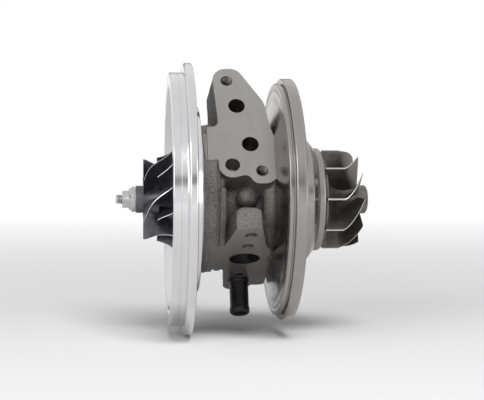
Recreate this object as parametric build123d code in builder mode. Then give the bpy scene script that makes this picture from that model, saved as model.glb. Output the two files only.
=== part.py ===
"""Turbo cartridge: a rotor with its bearings, in the housing that joins a compressor to a turbine."""

from build123d import *
from math import cos, exp, radians, sin
import os

os.makedirs("parts", exist_ok=True)

# Frame: millimetres, X is the shaft axis and points at the turbine, Z is up.
# The origin is on the shaft axis, in the mounting face of the turbine-end disc.

# Turbine end of the housing
disc_radius = 61.6
disc_rim_thickness = 5.6
disc_step_radius = 59.2
disc_step_thickness = 2.8
disc_groove_width = 0.9
disc_edge = 0.6
disc_land_radius = 53.5
pilot_radius = 31.0
pilot_length = 8.2
nose_radius = 26.8
nose_taper_length = 3.2
nose_recess_taper = 1.6
shield_radius = 26.3
shield_depth = 3.4
shield_sheet = 0.8
shield_bend = 1.2
shield_hole_radius = 8.0
shield_gap = 0.2
shield_land = 3.0

# Casting between the two ends
drum_radius = 37.9
drum_length = 6.5
drum_edge = 0.8
neck_radius = 37.0
neck_length = 4.4
neck_groove_width = 0.9
neck_groove_depth = 1.0
core_radius = 24.0
jacket_radius = 32.0
jacket_length = 8.6
jacket_flare = 3.4
housing_length = 46.2
cast_fillet = 3.0
cast_edge = 1.2
core_cavity_radius = 12.6
bearing_land_compressor = 12.4
bearing_land_turbine = 12.8
land_turbine_inset = 2.4
slinger_cavity_radius = 10.0
dome_radius = 5.6
dome_rise = 0.6

# Inlet flange for oil and coolant, its face turned up and towards the front
inlet_tilt = 29.0
inlet_distance = 34.5
inlet_thickness = 22.0
inlet_draft = 5.5
inlet_lobe = 7.5
inlet_low_lobe = 7.0
inlet_top_screw = (-32.9, 49.3)
inlet_low_screw = (-17.8, -3.3)
coolant_port_high = (-28.5, 34.2)
coolant_port_low = (-22.8, 11.8)
coolant_port_radius = 4.15
coolant_port_depth = 14.5
oil_inlet_x = -32.0
oil_inlet_radius = 3.25
oil_inlet_depth = 7.5
oil_inlet_chamfer = 0.4
shoulder_width = 11.8
shoulder_foot = 1.6
shoulder_top = 21.8
screw_hole_radius = 2.5
screw_hole_depth = 13.0
screw_hole_chamfer = 0.5
drum_relief_depth = 1.4
neck_relief_depth = 3.5
neck_relief_foot = 13.0

# Drain flange, its face turned down and a little towards the front
drain_tilt = 22.75
drain_distance = 32.3
drain_thickness = 11.0
drain_x = -24.4
drain_radius = 7.7
drain_leg_wall = 3.2
drain_leg_depth = 27.0
drain_front_end = 41.5
drain_back_end = 41.5
drain_wing_front = 18.0
drain_wing_back = 16.2
drain_screw_front = 32.8
drain_screw_middle = 17.8
drain_screw_depth = 9.0
dowel_hole_offset = 24.4
dowel_hole_radius = 1.8
dowel_hole_depth = 6.0
nipple_x = -24.2
nipple_offset = 33.5
nipple_radius = 5.25
nipple_bore = 3.6
nipple_length = 18.5
nipple_seat_step = 0.45
nipple_seat_radius = nipple_radius + nipple_seat_step
nipple_seat_depth = 9.0
nipple_chamfer = 0.9
nipple_boss_wall = 1.2
nipple_boss_shift = 0.2
nipple_boss_radius = nipple_seat_radius + nipple_boss_wall
nipple_boss_end = 49.5

# Passages inside the casting
gallery_radius = 1.5
gallery_offset = 15.8
feed_radius = 1.2
inlet_drill_radius = 1.3
return_radius = 3.0
return_offset = 12.5
seal_return_radius = 2.2
seal_return_offset = 11.5
jacket_cavity_inner = 18.5
jacket_cavity_outer = 27.0
jacket_cavity_start = -62.0
jacket_cavity_arc = 195.0
jacket_wall = 3.2
coolant_passage_radius = 3.0

# Rotor
journal_radius = 4.0
journal_relief = 0.3
stub_radius = 2.75
thread_radius = 2.5
thread_inset = 1.0
seal_boss_radius = 7.2
seal_boss_length = 7.1
seal_clearance = 0.3
rotor_fit = 0.02
weld_setback = 1.2
turbine_radius = 26.2
turbine_tip_width = 8.6
turbine_exit_length = 10.8
turbine_exit_radius = 22.9
turbine_blades = 10
turbine_exit_wrap = 36.0
turbine_wrap_power = 1.7
turbine_back_gap = 0.4
turbine_disc_thickness = 1.2
turbine_disc_radius = 23.2
turbine_nose_radius = 7.3
turbine_nose_length = 5.3
turbine_nose_chamfer = 0.9
turbine_root = 2.0
turbine_tip = 0.9
compressor_radius = 29.0
compressor_inlet_radius = 20.3
compressor_blades = 6
compressor_length = 16.1
compressor_exit_width = 2.4
compressor_hub_radius = 6.9
compressor_nose_length = 3.7
compressor_lead = 35.0
compressor_fast_turn = 34.0
compressor_turn_rate = 12.0
compressor_slow_turn = 0.25
compressor_disc_edge = 0.8
compressor_boss_length = 0.8
compressor_root = 1.5
compressor_tip = 0.5
splitter_start = 25.0
blade_bury = 0.5
nut_flats = 8.6
nut_hex_length = 3.2
nut_cone_radius = 5.0
nut_cone_length = 1.8
nut_flange_radius = 6.4
nut_flange_length = 1.8
stud_beyond_nut = 3.2
small_chamfer = 0.4

# Thrust stack and seals
collar_radius = 7.5
collar_hub_radius = 4.6
collar_thickness = 2.4
collar_side_gap = 1.0
collar_end_gap = 0.4
thrust_thickness = 3.5
thrust_radius = 18.5
thrust_gap = 0.05
thrust_bore_fit = 0.08
thrust_notch_width = 8.0
thrust_groove_width = 1.6
thrust_groove_depth = 0.8
flinger_radius = 5.6
flinger_flange = 1.6
flinger_sleeve = 7.6
flinger_recess_gap = 1.5
flinger_fit = 0.1
baffle_thickness = 0.8
baffle_hole_radius = 8.2
ring_width = 1.4
ring_side_gap = 0.05
ring_depth = 1.3
ring_back_gap = 0.2
ring_split = 0.6
ring_setback = 2.7
pin_radius = 1.25
pin_length = 6.5
pin_circle = 13.6
pin_inset = 0.5
inner_clearance = 0.3

# Floating bearings
bearing_length = 9.2
bearing_wall = 2.47
bearing_inner_fit = 0.03
bearing_outer_fit = 0.05
bearing_oil_holes = 4
bearing_oil_hole_radius = 0.8
snap_ring_width = 0.8
snap_ring_bite = 0.9
snap_ring_opening = 3.0
snap_groove_depth = 0.6
snap_gap = 0.1

# Backplate
plate_radius = 68.9
plate_flange_thickness = 4.4
plate_edge = 0.9
spigot_radius = 64.1
spigot_length = 6.9
spigot_groove = 0.35
spigot_groove_offset = 3.7
spigot_rim = 6.5
dish_floor_radius = 54.0
dish_depth = 6.2
plate_boss_radius = 46.9
plate_boss_length = 3.4
plate_boss_taper = 1.0
plate_land_radius = 36.5
plate_land_step = 1.2
wheel_pocket_clearance = 0.6
wheel_back_clearance = 0.5
plate_screw_radius = 2.5
plate_screw_circle = 24.0
plate_screw_count = 4
plate_screw_angle = -19.0
plate_screw_grip = 8.8
plate_screw_tip_gap = 0.4
plate_screw_head = 4.8
plate_screw_fit = 0.05
plate_screw_socket = 3.0
plate_screw_socket_depth = 2.2
seal_groove_radius = 32.3
seal_groove_width = 2.1
seal_groove_depth = 1.6
seal_side_gap = 0.1
orifice_length = 4.0
orifice_seat_radius = 2.9
orifice_radius = 0.7
orifice_crown = 1.5

# One quarter turn, in degrees
quarter_turn = 90

# Stations along the shaft, worked out from the sizes above
drum_face = -housing_length
drum_back = drum_face + drum_length
neck_back = drum_back + neck_length
disc_front = -disc_rim_thickness
disc_back = disc_front - disc_step_thickness
jacket_front = disc_back - jacket_length
nose_shoulder = pilot_length + nose_taper_length
shield_start = nose_shoulder + shield_gap
shield_face = shield_start + shield_depth
nose_end = shield_face - shield_sheet
turbine_back = shield_face + turbine_back_gap
turbine_disc_face = turbine_back + turbine_disc_thickness
turbine_tip_end = turbine_back + turbine_tip_width
turbine_exit = turbine_tip_end + turbine_exit_length
turbine_nose_end = turbine_exit + turbine_nose_length
weld_face = nose_end - weld_setback
seal_boss_start = weld_face - seal_boss_length

thrust_face = drum_face + baffle_thickness + thrust_gap
recess_floor = thrust_face + thrust_thickness
collar_start = recess_floor + thrust_gap
collar_end = collar_start + collar_thickness
flinger_end = thrust_face - thrust_gap
flinger_flange_start = flinger_end - flinger_flange
flinger_start = flinger_flange_start - flinger_sleeve
compressor_back = flinger_start - compressor_boss_length
compressor_exit_hub = compressor_back - compressor_disc_edge
compressor_exit_shroud = compressor_exit_hub - compressor_exit_width
compressor_inlet = compressor_exit_shroud - compressor_length
compressor_nose = compressor_inlet - compressor_nose_length
nut_flange_start = compressor_nose - nut_flange_length
nut_cone_start = nut_flange_start - nut_cone_length
nut_start = nut_cone_start - nut_hex_length
stud_tip = nut_start - stud_beyond_nut
thread_end = compressor_nose + thread_inset

bearing_bush_bore = journal_radius + bearing_inner_fit
bearing_bush_radius = bearing_bush_bore + bearing_wall
bearing_bore = bearing_bush_radius + bearing_outer_fit
land_compressor_start = collar_end + collar_end_gap
land_compressor_end = land_compressor_start + bearing_land_compressor
land_turbine_end = land_turbine_inset
land_turbine_start = land_turbine_end - bearing_land_turbine
bearing_compressor_x = (land_compressor_start + land_compressor_end) / 2
bearing_turbine_x = (land_turbine_start + land_turbine_end) / 2
snap_groove_width = snap_ring_width + snap_gap
snap_groove_radius = bearing_bore + snap_groove_depth
snap_offset = (bearing_length + snap_gap + snap_groove_width) / 2
snap_ring_stations = [
    bearing_compressor_x - snap_offset,
    bearing_compressor_x + snap_offset,
    bearing_turbine_x - snap_offset,
    bearing_turbine_x + snap_offset,
]
seal_bore = seal_boss_radius + seal_clearance
slinger_end = seal_boss_start - seal_clearance
recess_radius = thrust_radius + inner_clearance
collar_bore_radius = collar_radius + collar_side_gap
ring_groove_width = ring_width + 2 * ring_side_gap
shaft_ring_x = seal_boss_start + ring_setback
flinger_ring_x = flinger_start + ring_setback

plate_back = drum_face - plate_land_step
plate_rear = plate_back - plate_boss_length
plate_front = plate_rear - plate_flange_thickness
spigot_front = plate_front - spigot_length
pocket_floor = compressor_back + wheel_back_clearance
pocket_radius = compressor_radius + wheel_pocket_clearance
dish_floor = spigot_front + dish_depth
flinger_bore = flinger_radius + flinger_fit
flinger_recess_radius = collar_radius + flinger_recess_gap
flinger_recess_floor = flinger_flange_start - inner_clearance
seal_groove_inner = seal_groove_radius - seal_groove_width
plate_screw_end = drum_face + plate_screw_grip
plate_screw_neck = pocket_floor + plate_screw_head - plate_screw_radius

# Directions in which the two flanges face
inlet_normal = Vector(0, -cos(radians(inlet_tilt)), sin(radians(inlet_tilt)))
drain_normal = Vector(0, -sin(radians(drain_tilt)), -cos(radians(drain_tilt)))

# Seen along the shaft from the compressor end: local x points forwards, local y points up
screw_plane = Plane(origin=(drum_face, 0, 0), x_dir=(0, -1, 0), z_dir=(-1, 0, 0))
wheel_plane = Plane(origin=(0, 0, 0), x_dir=(0, -1, 0), z_dir=(1, 0, 0))


def flange_plane(normal, distance):
    """A plane square to normal, at this distance from the shaft, with local x along the shaft."""
    return Plane(origin=normal * distance, x_dir=(1, 0, 0), z_dir=normal)


def inlet_point(x, rise, distance):
    """The point at station x, at this rise and distance in the inlet flange's frame."""
    return flange_plane(inlet_normal, distance).from_local_coords(Vector(x, rise, 0))


def drain_point(x, forward, distance):
    """The point at station x, at this place and distance in the drain flange's frame."""
    return flange_plane(drain_normal, distance).from_local_coords(Vector(x, forward, 0))


def axial_profile(*points):
    """A half outline of (x, radius) points, ready to be turned about the shaft axis."""
    with BuildSketch(Plane.XZ) as outline:
        with BuildLine():
            Polyline(*points, close=True)
        make_face()
    return outline.sketch


def ring_profile(start, end, inner, outer):
    """A rectangular ring section between two stations and two radii."""
    return axial_profile((start, inner), (end, inner), (end, outer), (start, outer))


def rounded_outline(plane, corners):
    """A closed outline on a plane through (x, y, corner radius) corners."""
    points = [(x, y) for x, y, _ in corners]
    radii = [radius for _, _, radius in corners]
    with BuildSketch(plane) as outline:
        with BuildLine():
            FilletPolyline(*points, radius=radii, close=True)
        make_face()
    return outline.sketch


def rod_section(start, end, radius):
    """A round section at start, square to the run from start to end."""
    with BuildSketch(Plane(origin=start, z_dir=end - start)) as section:
        Circle(radius)
    return section.sketch


def blade_section(hub, shroud, turn, root, tip):
    """A blade's section from below its hub point to its shroud point, both (x, radius)."""
    across = Vector(-sin(radians(turn)), cos(radians(turn)), 0)
    outward = Vector(cos(radians(turn)), sin(radians(turn)), 0)
    along = Vector(0, 0, 1)
    foot = along * hub[0] + outward * hub[1]
    rise = along * shroud[0] + outward * shroud[1] - foot
    height = rise.length + blade_bury
    start = foot - rise.normalized() * blade_bury
    with BuildSketch(Plane(origin=start, x_dir=across, z_dir=across.cross(rise))) as section:
        with BuildLine():
            corners = [(-root / 2, 0), (root / 2, 0), (tip / 2, height), (-tip / 2, height)]
            Polyline(*corners, close=True)
        make_face()
    return section.sketch


# Outline of the inlet flange: lobes round its screws and the oil inlet, a shoulder at the drum
inlet_face = flange_plane(inlet_normal, inlet_distance)
top_x, top_y = inlet_top_screw
low_x, low_y = inlet_low_screw
shoulder_x = oil_inlet_x - shoulder_width
inlet_corners = [
    (top_x - inlet_lobe, top_y + inlet_lobe, inlet_lobe - 0.5),
    (top_x + inlet_lobe - 2.0, top_y + inlet_lobe, inlet_lobe - 1.0),
    (coolant_port_high[0] + 14.0, coolant_port_high[1] + 2.0, 14.0),
    (coolant_port_low[0] + 10.3, coolant_port_low[1] + 10.5, 20.0),
    (low_x + inlet_low_lobe + 2.3, low_y + 12.0, 8.0),
    (low_x + inlet_low_lobe, low_y - inlet_low_lobe, inlet_low_lobe - 0.3),
    (low_x - 3.6, low_y - inlet_low_lobe, 4.0),
    (low_x - inlet_low_lobe, low_y - 2.0, 3.0),
    (oil_inlet_x - 3.4, low_y - 4.9, 6.5),
    (shoulder_x + 3.0, shoulder_foot, 1.5),
    (shoulder_x, shoulder_foot, 1.2),
    (shoulder_x, shoulder_top, 1.5),
    (oil_inlet_x - inlet_lobe + 1.4, shoulder_top, 3.0),
    (oil_inlet_x - inlet_lobe + 1.2, shoulder_top + 5.7, 5.0),
]

# Outline of the drain flange: a front tongue, a wing at the drum and a boss for the nipple
drain_face = flange_plane(drain_normal, drain_distance)
wing_x = (drum_back + drum_face) / 2
boss_x = nipple_x - nipple_boss_shift
drain_corners = [
    (drain_x - 7.6, drain_front_end, 1.0),
    (drain_x + 4.5, drain_front_end, 1.0),
    (drain_x + 9.0, drain_screw_middle, 6.0),
    (drain_x + 11.4, drain_screw_middle - 4.5, 3.0),
    (drain_x + 14.0, -drain_wing_back, 10.0),
    (drain_x + 14.4, -drain_back_end, 3.0),
    (boss_x + nipple_boss_radius, -drain_back_end, 1.5),
    (boss_x + nipple_boss_radius, -nipple_boss_end, nipple_boss_radius - 0.1),
    (boss_x - nipple_boss_radius, -nipple_boss_end, nipple_boss_radius - 0.1),
    (drain_x - 8.4, -dowel_hole_offset, 8.0),
    (drain_x - 9.8, -drain_wing_back, 1.0),
    (wing_x, -drain_wing_back, 1.0),
    (wing_x, drain_wing_front, 1.0),
    (drain_x - 11.4, drain_wing_front, 1.0),
]

# Half outline of the housing, turned about the shaft
shield_seat = shield_radius - shield_sheet - shield_gap
casting_corners = [
    (drum_face, 0, 0),
    (drum_face, drum_radius - drum_edge, 0),
    (drum_face + drum_edge, drum_radius, 0),
    (drum_back, drum_radius, drum_edge),
    (drum_back, neck_radius - neck_groove_depth, 0),
    (drum_back + neck_groove_width, neck_radius - neck_groove_depth, 0),
    (drum_back + neck_groove_width, neck_radius, drum_edge),
    (neck_back, neck_radius, cast_edge),
    (neck_back, core_radius, cast_fillet),
    (jacket_front, core_radius, cast_fillet),
    (jacket_front, jacket_radius, cast_fillet),
    (disc_back - jacket_flare, jacket_radius, cast_fillet),
    (disc_back, disc_land_radius, 0),
    (disc_back, disc_step_radius - disc_edge, 0),
    (disc_back + disc_edge, disc_step_radius, 0),
    (disc_front - disc_groove_width, disc_step_radius, 0),
    (disc_front - disc_groove_width, disc_step_radius - disc_groove_width, 0),
    (disc_front, disc_step_radius - disc_groove_width, 0),
    (disc_front, disc_radius - disc_edge, 0),
    (disc_front + disc_edge, disc_radius, 0),
    (-disc_edge, disc_radius, 0),
    (0, disc_radius - disc_edge, 0),
    (0, pilot_radius, 0),
    (pilot_length, pilot_radius, 0),
    (nose_shoulder, nose_radius, 0),
    (nose_shoulder, shield_seat, 0),
    (nose_end, shield_seat, shield_bend / 2),
    (nose_end, shield_seat - shield_land, 0),
    (weld_face - seal_clearance, shield_seat - shield_land - nose_recess_taper, 0),
    (weld_face - seal_clearance, 0, 0),
]

# Drillings inside the housing, each from one point to another
jacket_mid = (jacket_front + disc_back) / 2 + jacket_wall
jacket_depth = (jacket_cavity_inner + jacket_cavity_outer) / 2
port_floor = inlet_distance - coolant_port_depth
port_end = port_floor + coolant_passage_radius
drillings = [
    (
        inlet_point(recess_floor - inner_clearance, 0, gallery_offset),
        inlet_point(bearing_turbine_x + 2 * feed_radius, 0, gallery_offset),
        gallery_radius,
    ),
    (
        inlet_point(bearing_compressor_x, 0, gallery_offset),
        inlet_point(bearing_compressor_x, 0, bearing_bush_bore),
        feed_radius,
    ),
    (
        inlet_point(bearing_turbine_x, 0, gallery_offset),
        inlet_point(bearing_turbine_x, 0, bearing_bush_bore),
        feed_radius,
    ),
    (
        inlet_point(oil_inlet_x, 0, inlet_distance),
        inlet_point(oil_inlet_x, 0, gallery_offset),
        inlet_drill_radius,
    ),
    (
        drain_point(recess_floor - inner_clearance, 0, return_offset),
        drain_point(drain_x, 0, return_offset),
        return_radius,
    ),
    (
        drain_point(drain_x, 0, seal_return_offset),
        drain_point(slinger_end, 0, seal_return_offset),
        seal_return_radius,
    ),
    (
        inlet_point(*coolant_port_low, port_end),
        inlet_point(jacket_mid, coolant_port_low[1], port_floor),
        coolant_passage_radius,
    ),
    (
        inlet_point(*coolant_port_high, port_end),
        inlet_point(jacket_mid, coolant_port_low[1] + 5.0, port_floor - 4.0),
        coolant_passage_radius,
    ),
    (
        drain_point(nipple_x, -nipple_offset, drain_distance - nipple_seat_depth + 1.0),
        drain_point(jacket_mid, -jacket_depth, port_floor / 2),
        coolant_passage_radius,
    ),
]

screw_hole_mouth = screw_hole_radius + screw_hole_chamfer

# Bearing housing: one casting, machined on its faces and bores
with BuildPart() as bearing_housing:
    revolve(rounded_outline(Plane.XZ, casting_corners), axis=Axis.X)
    # Room round the inlet flange, cast into the neck
    with BuildSketch(inlet_face.offset(-neck_relief_depth)):
        with Locations((drum_back + neck_groove_width, -neck_relief_foot)):
            Rectangle(neck_length, neck_relief_foot + top_y, align=(Align.MIN, Align.MIN))
    extrude(amount=drum_radius, mode=Mode.SUBTRACT)
    extrude(rounded_outline(inlet_face, inlet_corners), amount=-inlet_thickness, taper=-inlet_draft)
    extrude(rounded_outline(drain_face, drain_corners), amount=-drain_thickness)
    # Leg between the core and the drain flange
    with BuildSketch(drain_face.offset(-drain_thickness / 2)):
        with Locations((drain_x, 0)):
            leg_width = 2 * (drain_radius + drain_leg_wall)
            RectangleRounded(leg_width, drain_leg_depth, drain_radius / 2)
    extrude(amount=-(drain_distance - drain_thickness))
    # Dome over the core, between the two flanges
    with Locations((drain_x, -core_radius, dome_rise)):
        Sphere(dome_radius)
    # Arm round the passage between the nipple and the jacket
    arm_start = drain_point(boss_x, -nipple_offset - 4.0, drain_distance - drain_thickness / 2)
    arm_end = drain_point(jacket_mid, -jacket_depth, port_floor / 2)
    extrude(rod_section(arm_start, arm_end, nipple_boss_radius), amount=(arm_end - arm_start).length)
    # The neck is milled back to the drain face
    with BuildSketch(drain_face):
        with Locations((wing_x, 0)):
            Rectangle(neck_back - wing_x, 2 * drum_radius, align=(Align.MIN, Align.CENTER))
    extrude(amount=drum_radius, mode=Mode.SUBTRACT)
    # The drum is milled back in front of the inlet face, a little deeper beside it
    with BuildSketch(inlet_face):
        with Locations((drum_face, shoulder_foot)):
            Rectangle(drum_length + cast_edge, top_y, align=(Align.MIN, Align.MIN))
    extrude(amount=drum_radius, mode=Mode.SUBTRACT)
    with BuildSketch(inlet_face.offset(-drum_relief_depth)):
        with Locations((drum_face, shoulder_foot)):
            Rectangle(shoulder_x - drum_face, top_y, align=(Align.MIN, Align.MIN))
    extrude(amount=drum_radius, mode=Mode.SUBTRACT)
    # Bores along the shaft
    bores = [
        (drum_face, recess_floor, recess_radius),
        (recess_floor, land_compressor_start, collar_bore_radius),
        (land_compressor_start, slinger_end, bearing_bore),
        (land_compressor_end, land_turbine_start, core_cavity_radius),
        (land_turbine_end, slinger_end, slinger_cavity_radius),
        (slinger_end, weld_face, seal_bore),
    ]
    for bore_start, bore_end, bore_radius in bores:
        bore_profile = ring_profile(bore_start, bore_end, 0, bore_radius)
        revolve(bore_profile, axis=Axis.X, mode=Mode.SUBTRACT)
    for station in snap_ring_stations:
        groove_start = station - snap_groove_width / 2
        groove = ring_profile(groove_start, groove_start + snap_groove_width, 0, snap_groove_radius)
        revolve(groove, axis=Axis.X, mode=Mode.SUBTRACT)
    # Water jacket over the turbine end of the core
    jacket_cavity = ring_profile(
        jacket_front + jacket_wall,
        disc_back + jacket_wall,
        jacket_cavity_inner,
        jacket_cavity_outer,
    ).rotate(Axis.X, jacket_cavity_start - 90)
    revolve(jacket_cavity, Axis.X, revolution_arc=jacket_cavity_arc, mode=Mode.SUBTRACT)
    for drill_start, drill_end, drill_radius in drillings:
        drill = rod_section(drill_start, drill_end, drill_radius)
        extrude(drill, amount=(drill_end - drill_start).length, mode=Mode.SUBTRACT)
    # Holes in the inlet face
    with Locations(inlet_face):
        with Locations(coolant_port_high, coolant_port_low):
            Hole(coolant_port_radius, coolant_port_depth)
        with Locations((oil_inlet_x, 0)):
            oil_inlet_mouth = oil_inlet_radius + oil_inlet_chamfer
            CounterSinkHole(oil_inlet_radius, oil_inlet_mouth, oil_inlet_depth, 90)
            Hole(orifice_seat_radius, oil_inlet_depth + orifice_length)
        with Locations(inlet_top_screw, inlet_low_screw):
            CounterSinkHole(screw_hole_radius, screw_hole_mouth, screw_hole_depth, 90)
    # Holes in the drain face
    with Locations(drain_face):
        with Locations((drain_x, 0)):
            Hole(drain_radius, drain_distance - core_cavity_radius + seal_return_radius)
        with Locations((drain_x, drain_screw_front), (drain_x, drain_screw_middle)):
            CounterSinkHole(screw_hole_radius, screw_hole_mouth, drain_screw_depth, 90)
        with Locations((drain_x, -dowel_hole_offset)):
            Hole(dowel_hole_radius, dowel_hole_depth)
        with Locations((nipple_x, -nipple_offset)):
            Hole(nipple_seat_radius, nipple_seat_depth)
    # Holes in the drum face for the backplate's screws and the thrust bearing's pins
    with Locations(screw_plane):
        with PolarLocations(plate_screw_circle, plate_screw_count, start_angle=plate_screw_angle):
            Hole(plate_screw_radius, plate_screw_grip + plate_screw_tip_gap)
        with PolarLocations(pin_circle, 2, start_angle=plate_screw_angle):
            Hole(pin_radius, thrust_face - drum_face + pin_inset + pin_length)
bearing_housing.part.label = "bearing_housing"
export_step(bearing_housing.part, "parts/bearing_housing.step")

# Heat shield: a pressed cup over the housing's nose
with BuildPart() as heat_shield:
    shield_bore = shield_radius - shield_sheet
    shield_corners = [
        (shield_start, shield_bore, 0),
        (shield_start, shield_radius, 0),
        (shield_face, shield_radius, shield_bend),
        (shield_face, shield_hole_radius, 0),
        (nose_end, shield_hole_radius, 0),
        (nose_end, shield_bore, shield_bend - shield_sheet),
    ]
    revolve(rounded_outline(Plane.XZ, shield_corners), axis=Axis.X)
heat_shield.part.label = "heat_shield"
export_step(heat_shield.part, "parts/heat_shield.step")

# Backplate: turned disc that closes the compressor, dished towards the wheel
with BuildPart() as compressor_backplate:
    groove_start = spigot_front + spigot_groove_offset
    plate_corners = [
        (pocket_floor, flinger_bore, 0),
        (pocket_floor, pocket_radius, 0.3),
        (dish_floor, pocket_radius, 0),
        (dish_floor, dish_floor_radius, cast_fillet),
        (spigot_front, spigot_radius - spigot_rim, 0),
        (spigot_front, spigot_radius - small_chamfer, 0),
        (spigot_front + small_chamfer, spigot_radius, 0),
        (groove_start, spigot_radius, 0),
        (groove_start, spigot_radius - spigot_groove, 0),
        (groove_start + spigot_groove, spigot_radius - spigot_groove, 0),
        (groove_start + spigot_groove, spigot_radius, 0),
        (plate_front, spigot_radius, 0),
        (plate_front, plate_radius - plate_edge, 0),
        (plate_front + plate_edge, plate_radius, 0),
        (plate_rear, plate_radius, plate_edge),
        (plate_rear, plate_boss_radius + plate_boss_taper, 0),
        (plate_back, plate_boss_radius, 0),
        (plate_back, plate_land_radius, 0),
        (drum_face, plate_land_radius, 0),
        (drum_face, seal_groove_radius, 0),
        (drum_face - seal_groove_depth, seal_groove_radius, 0),
        (drum_face - seal_groove_depth, seal_groove_inner, 0),
        (drum_face, seal_groove_inner, 0),
        (drum_face, flinger_recess_radius, 0),
        (flinger_recess_floor, flinger_recess_radius, 0),
        (flinger_recess_floor, flinger_bore, 0),
    ]
    revolve(rounded_outline(Plane.XZ, plate_corners), axis=Axis.X)
    # Countersunk screw holes, heads flush with the wheel's pocket
    with Locations(screw_plane.offset(drum_face - pocket_floor)):
        with PolarLocations(plate_screw_circle, plate_screw_count, start_angle=plate_screw_angle):
            CounterSinkHole(plate_screw_radius + plate_screw_fit, plate_screw_head, counter_sink_angle=90)
compressor_backplate.part.label = "compressor_backplate"
export_step(compressor_backplate.part, "parts/compressor_backplate.step")

# Countersunk socket screws that hold the backplate
with BuildPart() as plate_screw:
    screw_profile = axial_profile(
        (pocket_floor, 0),
        (pocket_floor, plate_screw_head),
        (plate_screw_neck, plate_screw_radius),
        (plate_screw_end - small_chamfer, plate_screw_radius),
        (plate_screw_end, plate_screw_radius - small_chamfer),
        (plate_screw_end, 0),
    )
    revolve(screw_profile, axis=Axis.X)
    with BuildSketch(screw_plane.offset(drum_face - pocket_floor)):
        RegularPolygon(plate_screw_socket / 2, 6, major_radius=False)
    extrude(amount=-plate_screw_socket_depth, mode=Mode.SUBTRACT)

with BuildPart() as backplate_screws:
    for turn in range(plate_screw_count):
        screw_turn = radians(plate_screw_angle + turn * 360 / plate_screw_count)
        with Locations((0, -plate_screw_circle * cos(screw_turn), plate_screw_circle * sin(screw_turn))):
            add(plate_screw.part)
backplate_screws.part.label = "backplate_screws"
export_step(backplate_screws.part, "parts/backplate_screws.step")

# Rubber ring in the backplate's rear groove
with BuildPart() as backplate_seal_ring:
    ring_inner = seal_groove_inner + seal_side_gap
    ring_outer = seal_groove_radius - seal_side_gap
    seal_corners = [
        (drum_face - seal_groove_depth, ring_inner, small_chamfer),
        (drum_face, ring_inner, small_chamfer),
        (drum_face, ring_outer, small_chamfer),
        (drum_face - seal_groove_depth, ring_outer, small_chamfer),
    ]
    revolve(rounded_outline(Plane.XZ, seal_corners), axis=Axis.X)
backplate_seal_ring.part.label = "backplate_seal_ring"
export_step(backplate_seal_ring.part, "parts/backplate_seal_ring.step")

# Shaft: threaded stud, stub, two journals with a relief between them, seal boss with a ring groove
with BuildPart() as rotor_shaft:
    relief_radius = journal_radius - journal_relief
    groove_bottom = seal_boss_radius - ring_depth
    shaft_profile = axial_profile(
        (stud_tip, 0),
        (stud_tip, thread_radius - small_chamfer),
        (stud_tip + small_chamfer, thread_radius),
        (thread_end, thread_radius),
        (thread_end, stub_radius),
        (collar_end, stub_radius),
        (collar_end, journal_radius),
        (land_compressor_end, journal_radius),
        (land_compressor_end + journal_relief, relief_radius),
        (land_turbine_start - journal_relief, relief_radius),
        (land_turbine_start, journal_radius),
        (seal_boss_start, journal_radius),
        (seal_boss_start, seal_boss_radius),
        (shaft_ring_x - ring_groove_width / 2, seal_boss_radius),
        (shaft_ring_x - ring_groove_width / 2, groove_bottom),
        (shaft_ring_x + ring_groove_width / 2, groove_bottom),
        (shaft_ring_x + ring_groove_width / 2, seal_boss_radius),
        (weld_face, seal_boss_radius),
        (weld_face, 0),
    )
    revolve(shaft_profile, axis=Axis.X)
rotor_shaft.part.label = "rotor_shaft"
export_step(rotor_shaft.part, "parts/rotor_shaft.step")


def turbine_hub(x):
    """The turbine hub's radius at station x, on a quarter ellipse from the disc to the nose."""
    reach = 1 - (x - turbine_disc_face) / (turbine_exit - turbine_disc_face)
    if reach >= 1:
        return turbine_disc_radius
    return turbine_disc_radius - (turbine_disc_radius - turbine_nose_radius) * (1 - reach**2) ** 0.5


def turbine_blade_section(x):
    """The turbine blade's section at station x: radial fibres, turned where the gas leaves."""
    past = max(0.0, (x - turbine_tip_end) / turbine_exit_length)
    turn = -turbine_exit_wrap * past**turbine_wrap_power
    shroud = turbine_radius - (turbine_radius - turbine_exit_radius) * past
    return blade_section((x, turbine_hub(x)), (x, shroud), turn, turbine_root, turbine_tip)


# One turbine blade, with its foot inside the hub
with BuildPart() as turbine_blade:
    inlet_step = turbine_tip_width - turbine_disc_thickness
    inlet_stations = [turbine_back + blade_bury / 5, turbine_disc_face]
    inlet_stations += [turbine_disc_face + inlet_step * share for share in (0.07, 0.2, 0.45, 0.7, 1.0)]
    loft([turbine_blade_section(x) for x in inlet_stations], ruled=True)
    exit_stations = [turbine_tip_end + turbine_exit_length * step / 5 for step in range(6)]
    loft([turbine_blade_section(x) for x in exit_stations])

# Turbine wheel: hub, back disc and blades in one casting
with BuildPart() as turbine_wheel:
    with BuildSketch(Plane.XZ):
        with BuildLine():
            hub_reach = turbine_exit - turbine_disc_face
            hub_fall = turbine_disc_radius - turbine_nose_radius
            hub_centre = (turbine_exit, turbine_disc_radius)
            EllipticalCenterArc(hub_centre, hub_reach, hub_fall, 2 * quarter_turn, arc_size=quarter_turn)
            Polyline(
                (turbine_exit, turbine_nose_radius),
                (turbine_nose_end - turbine_nose_chamfer, turbine_nose_radius),
                (turbine_nose_end, turbine_nose_radius - turbine_nose_chamfer),
                (turbine_nose_end, 0),
                (weld_face, 0),
                (weld_face, seal_boss_radius),
                (turbine_back, seal_boss_radius),
                (turbine_back, turbine_disc_radius),
                (turbine_disc_face, turbine_disc_radius),
            )
        make_face()
    revolve(axis=Axis.X)
    with Locations(wheel_plane):
        with PolarLocations(0, turbine_blades):
            add(turbine_blade.part)
turbine_wheel.part.label = "turbine_wheel"
export_step(turbine_wheel.part, "parts/turbine_wheel.step")


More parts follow.
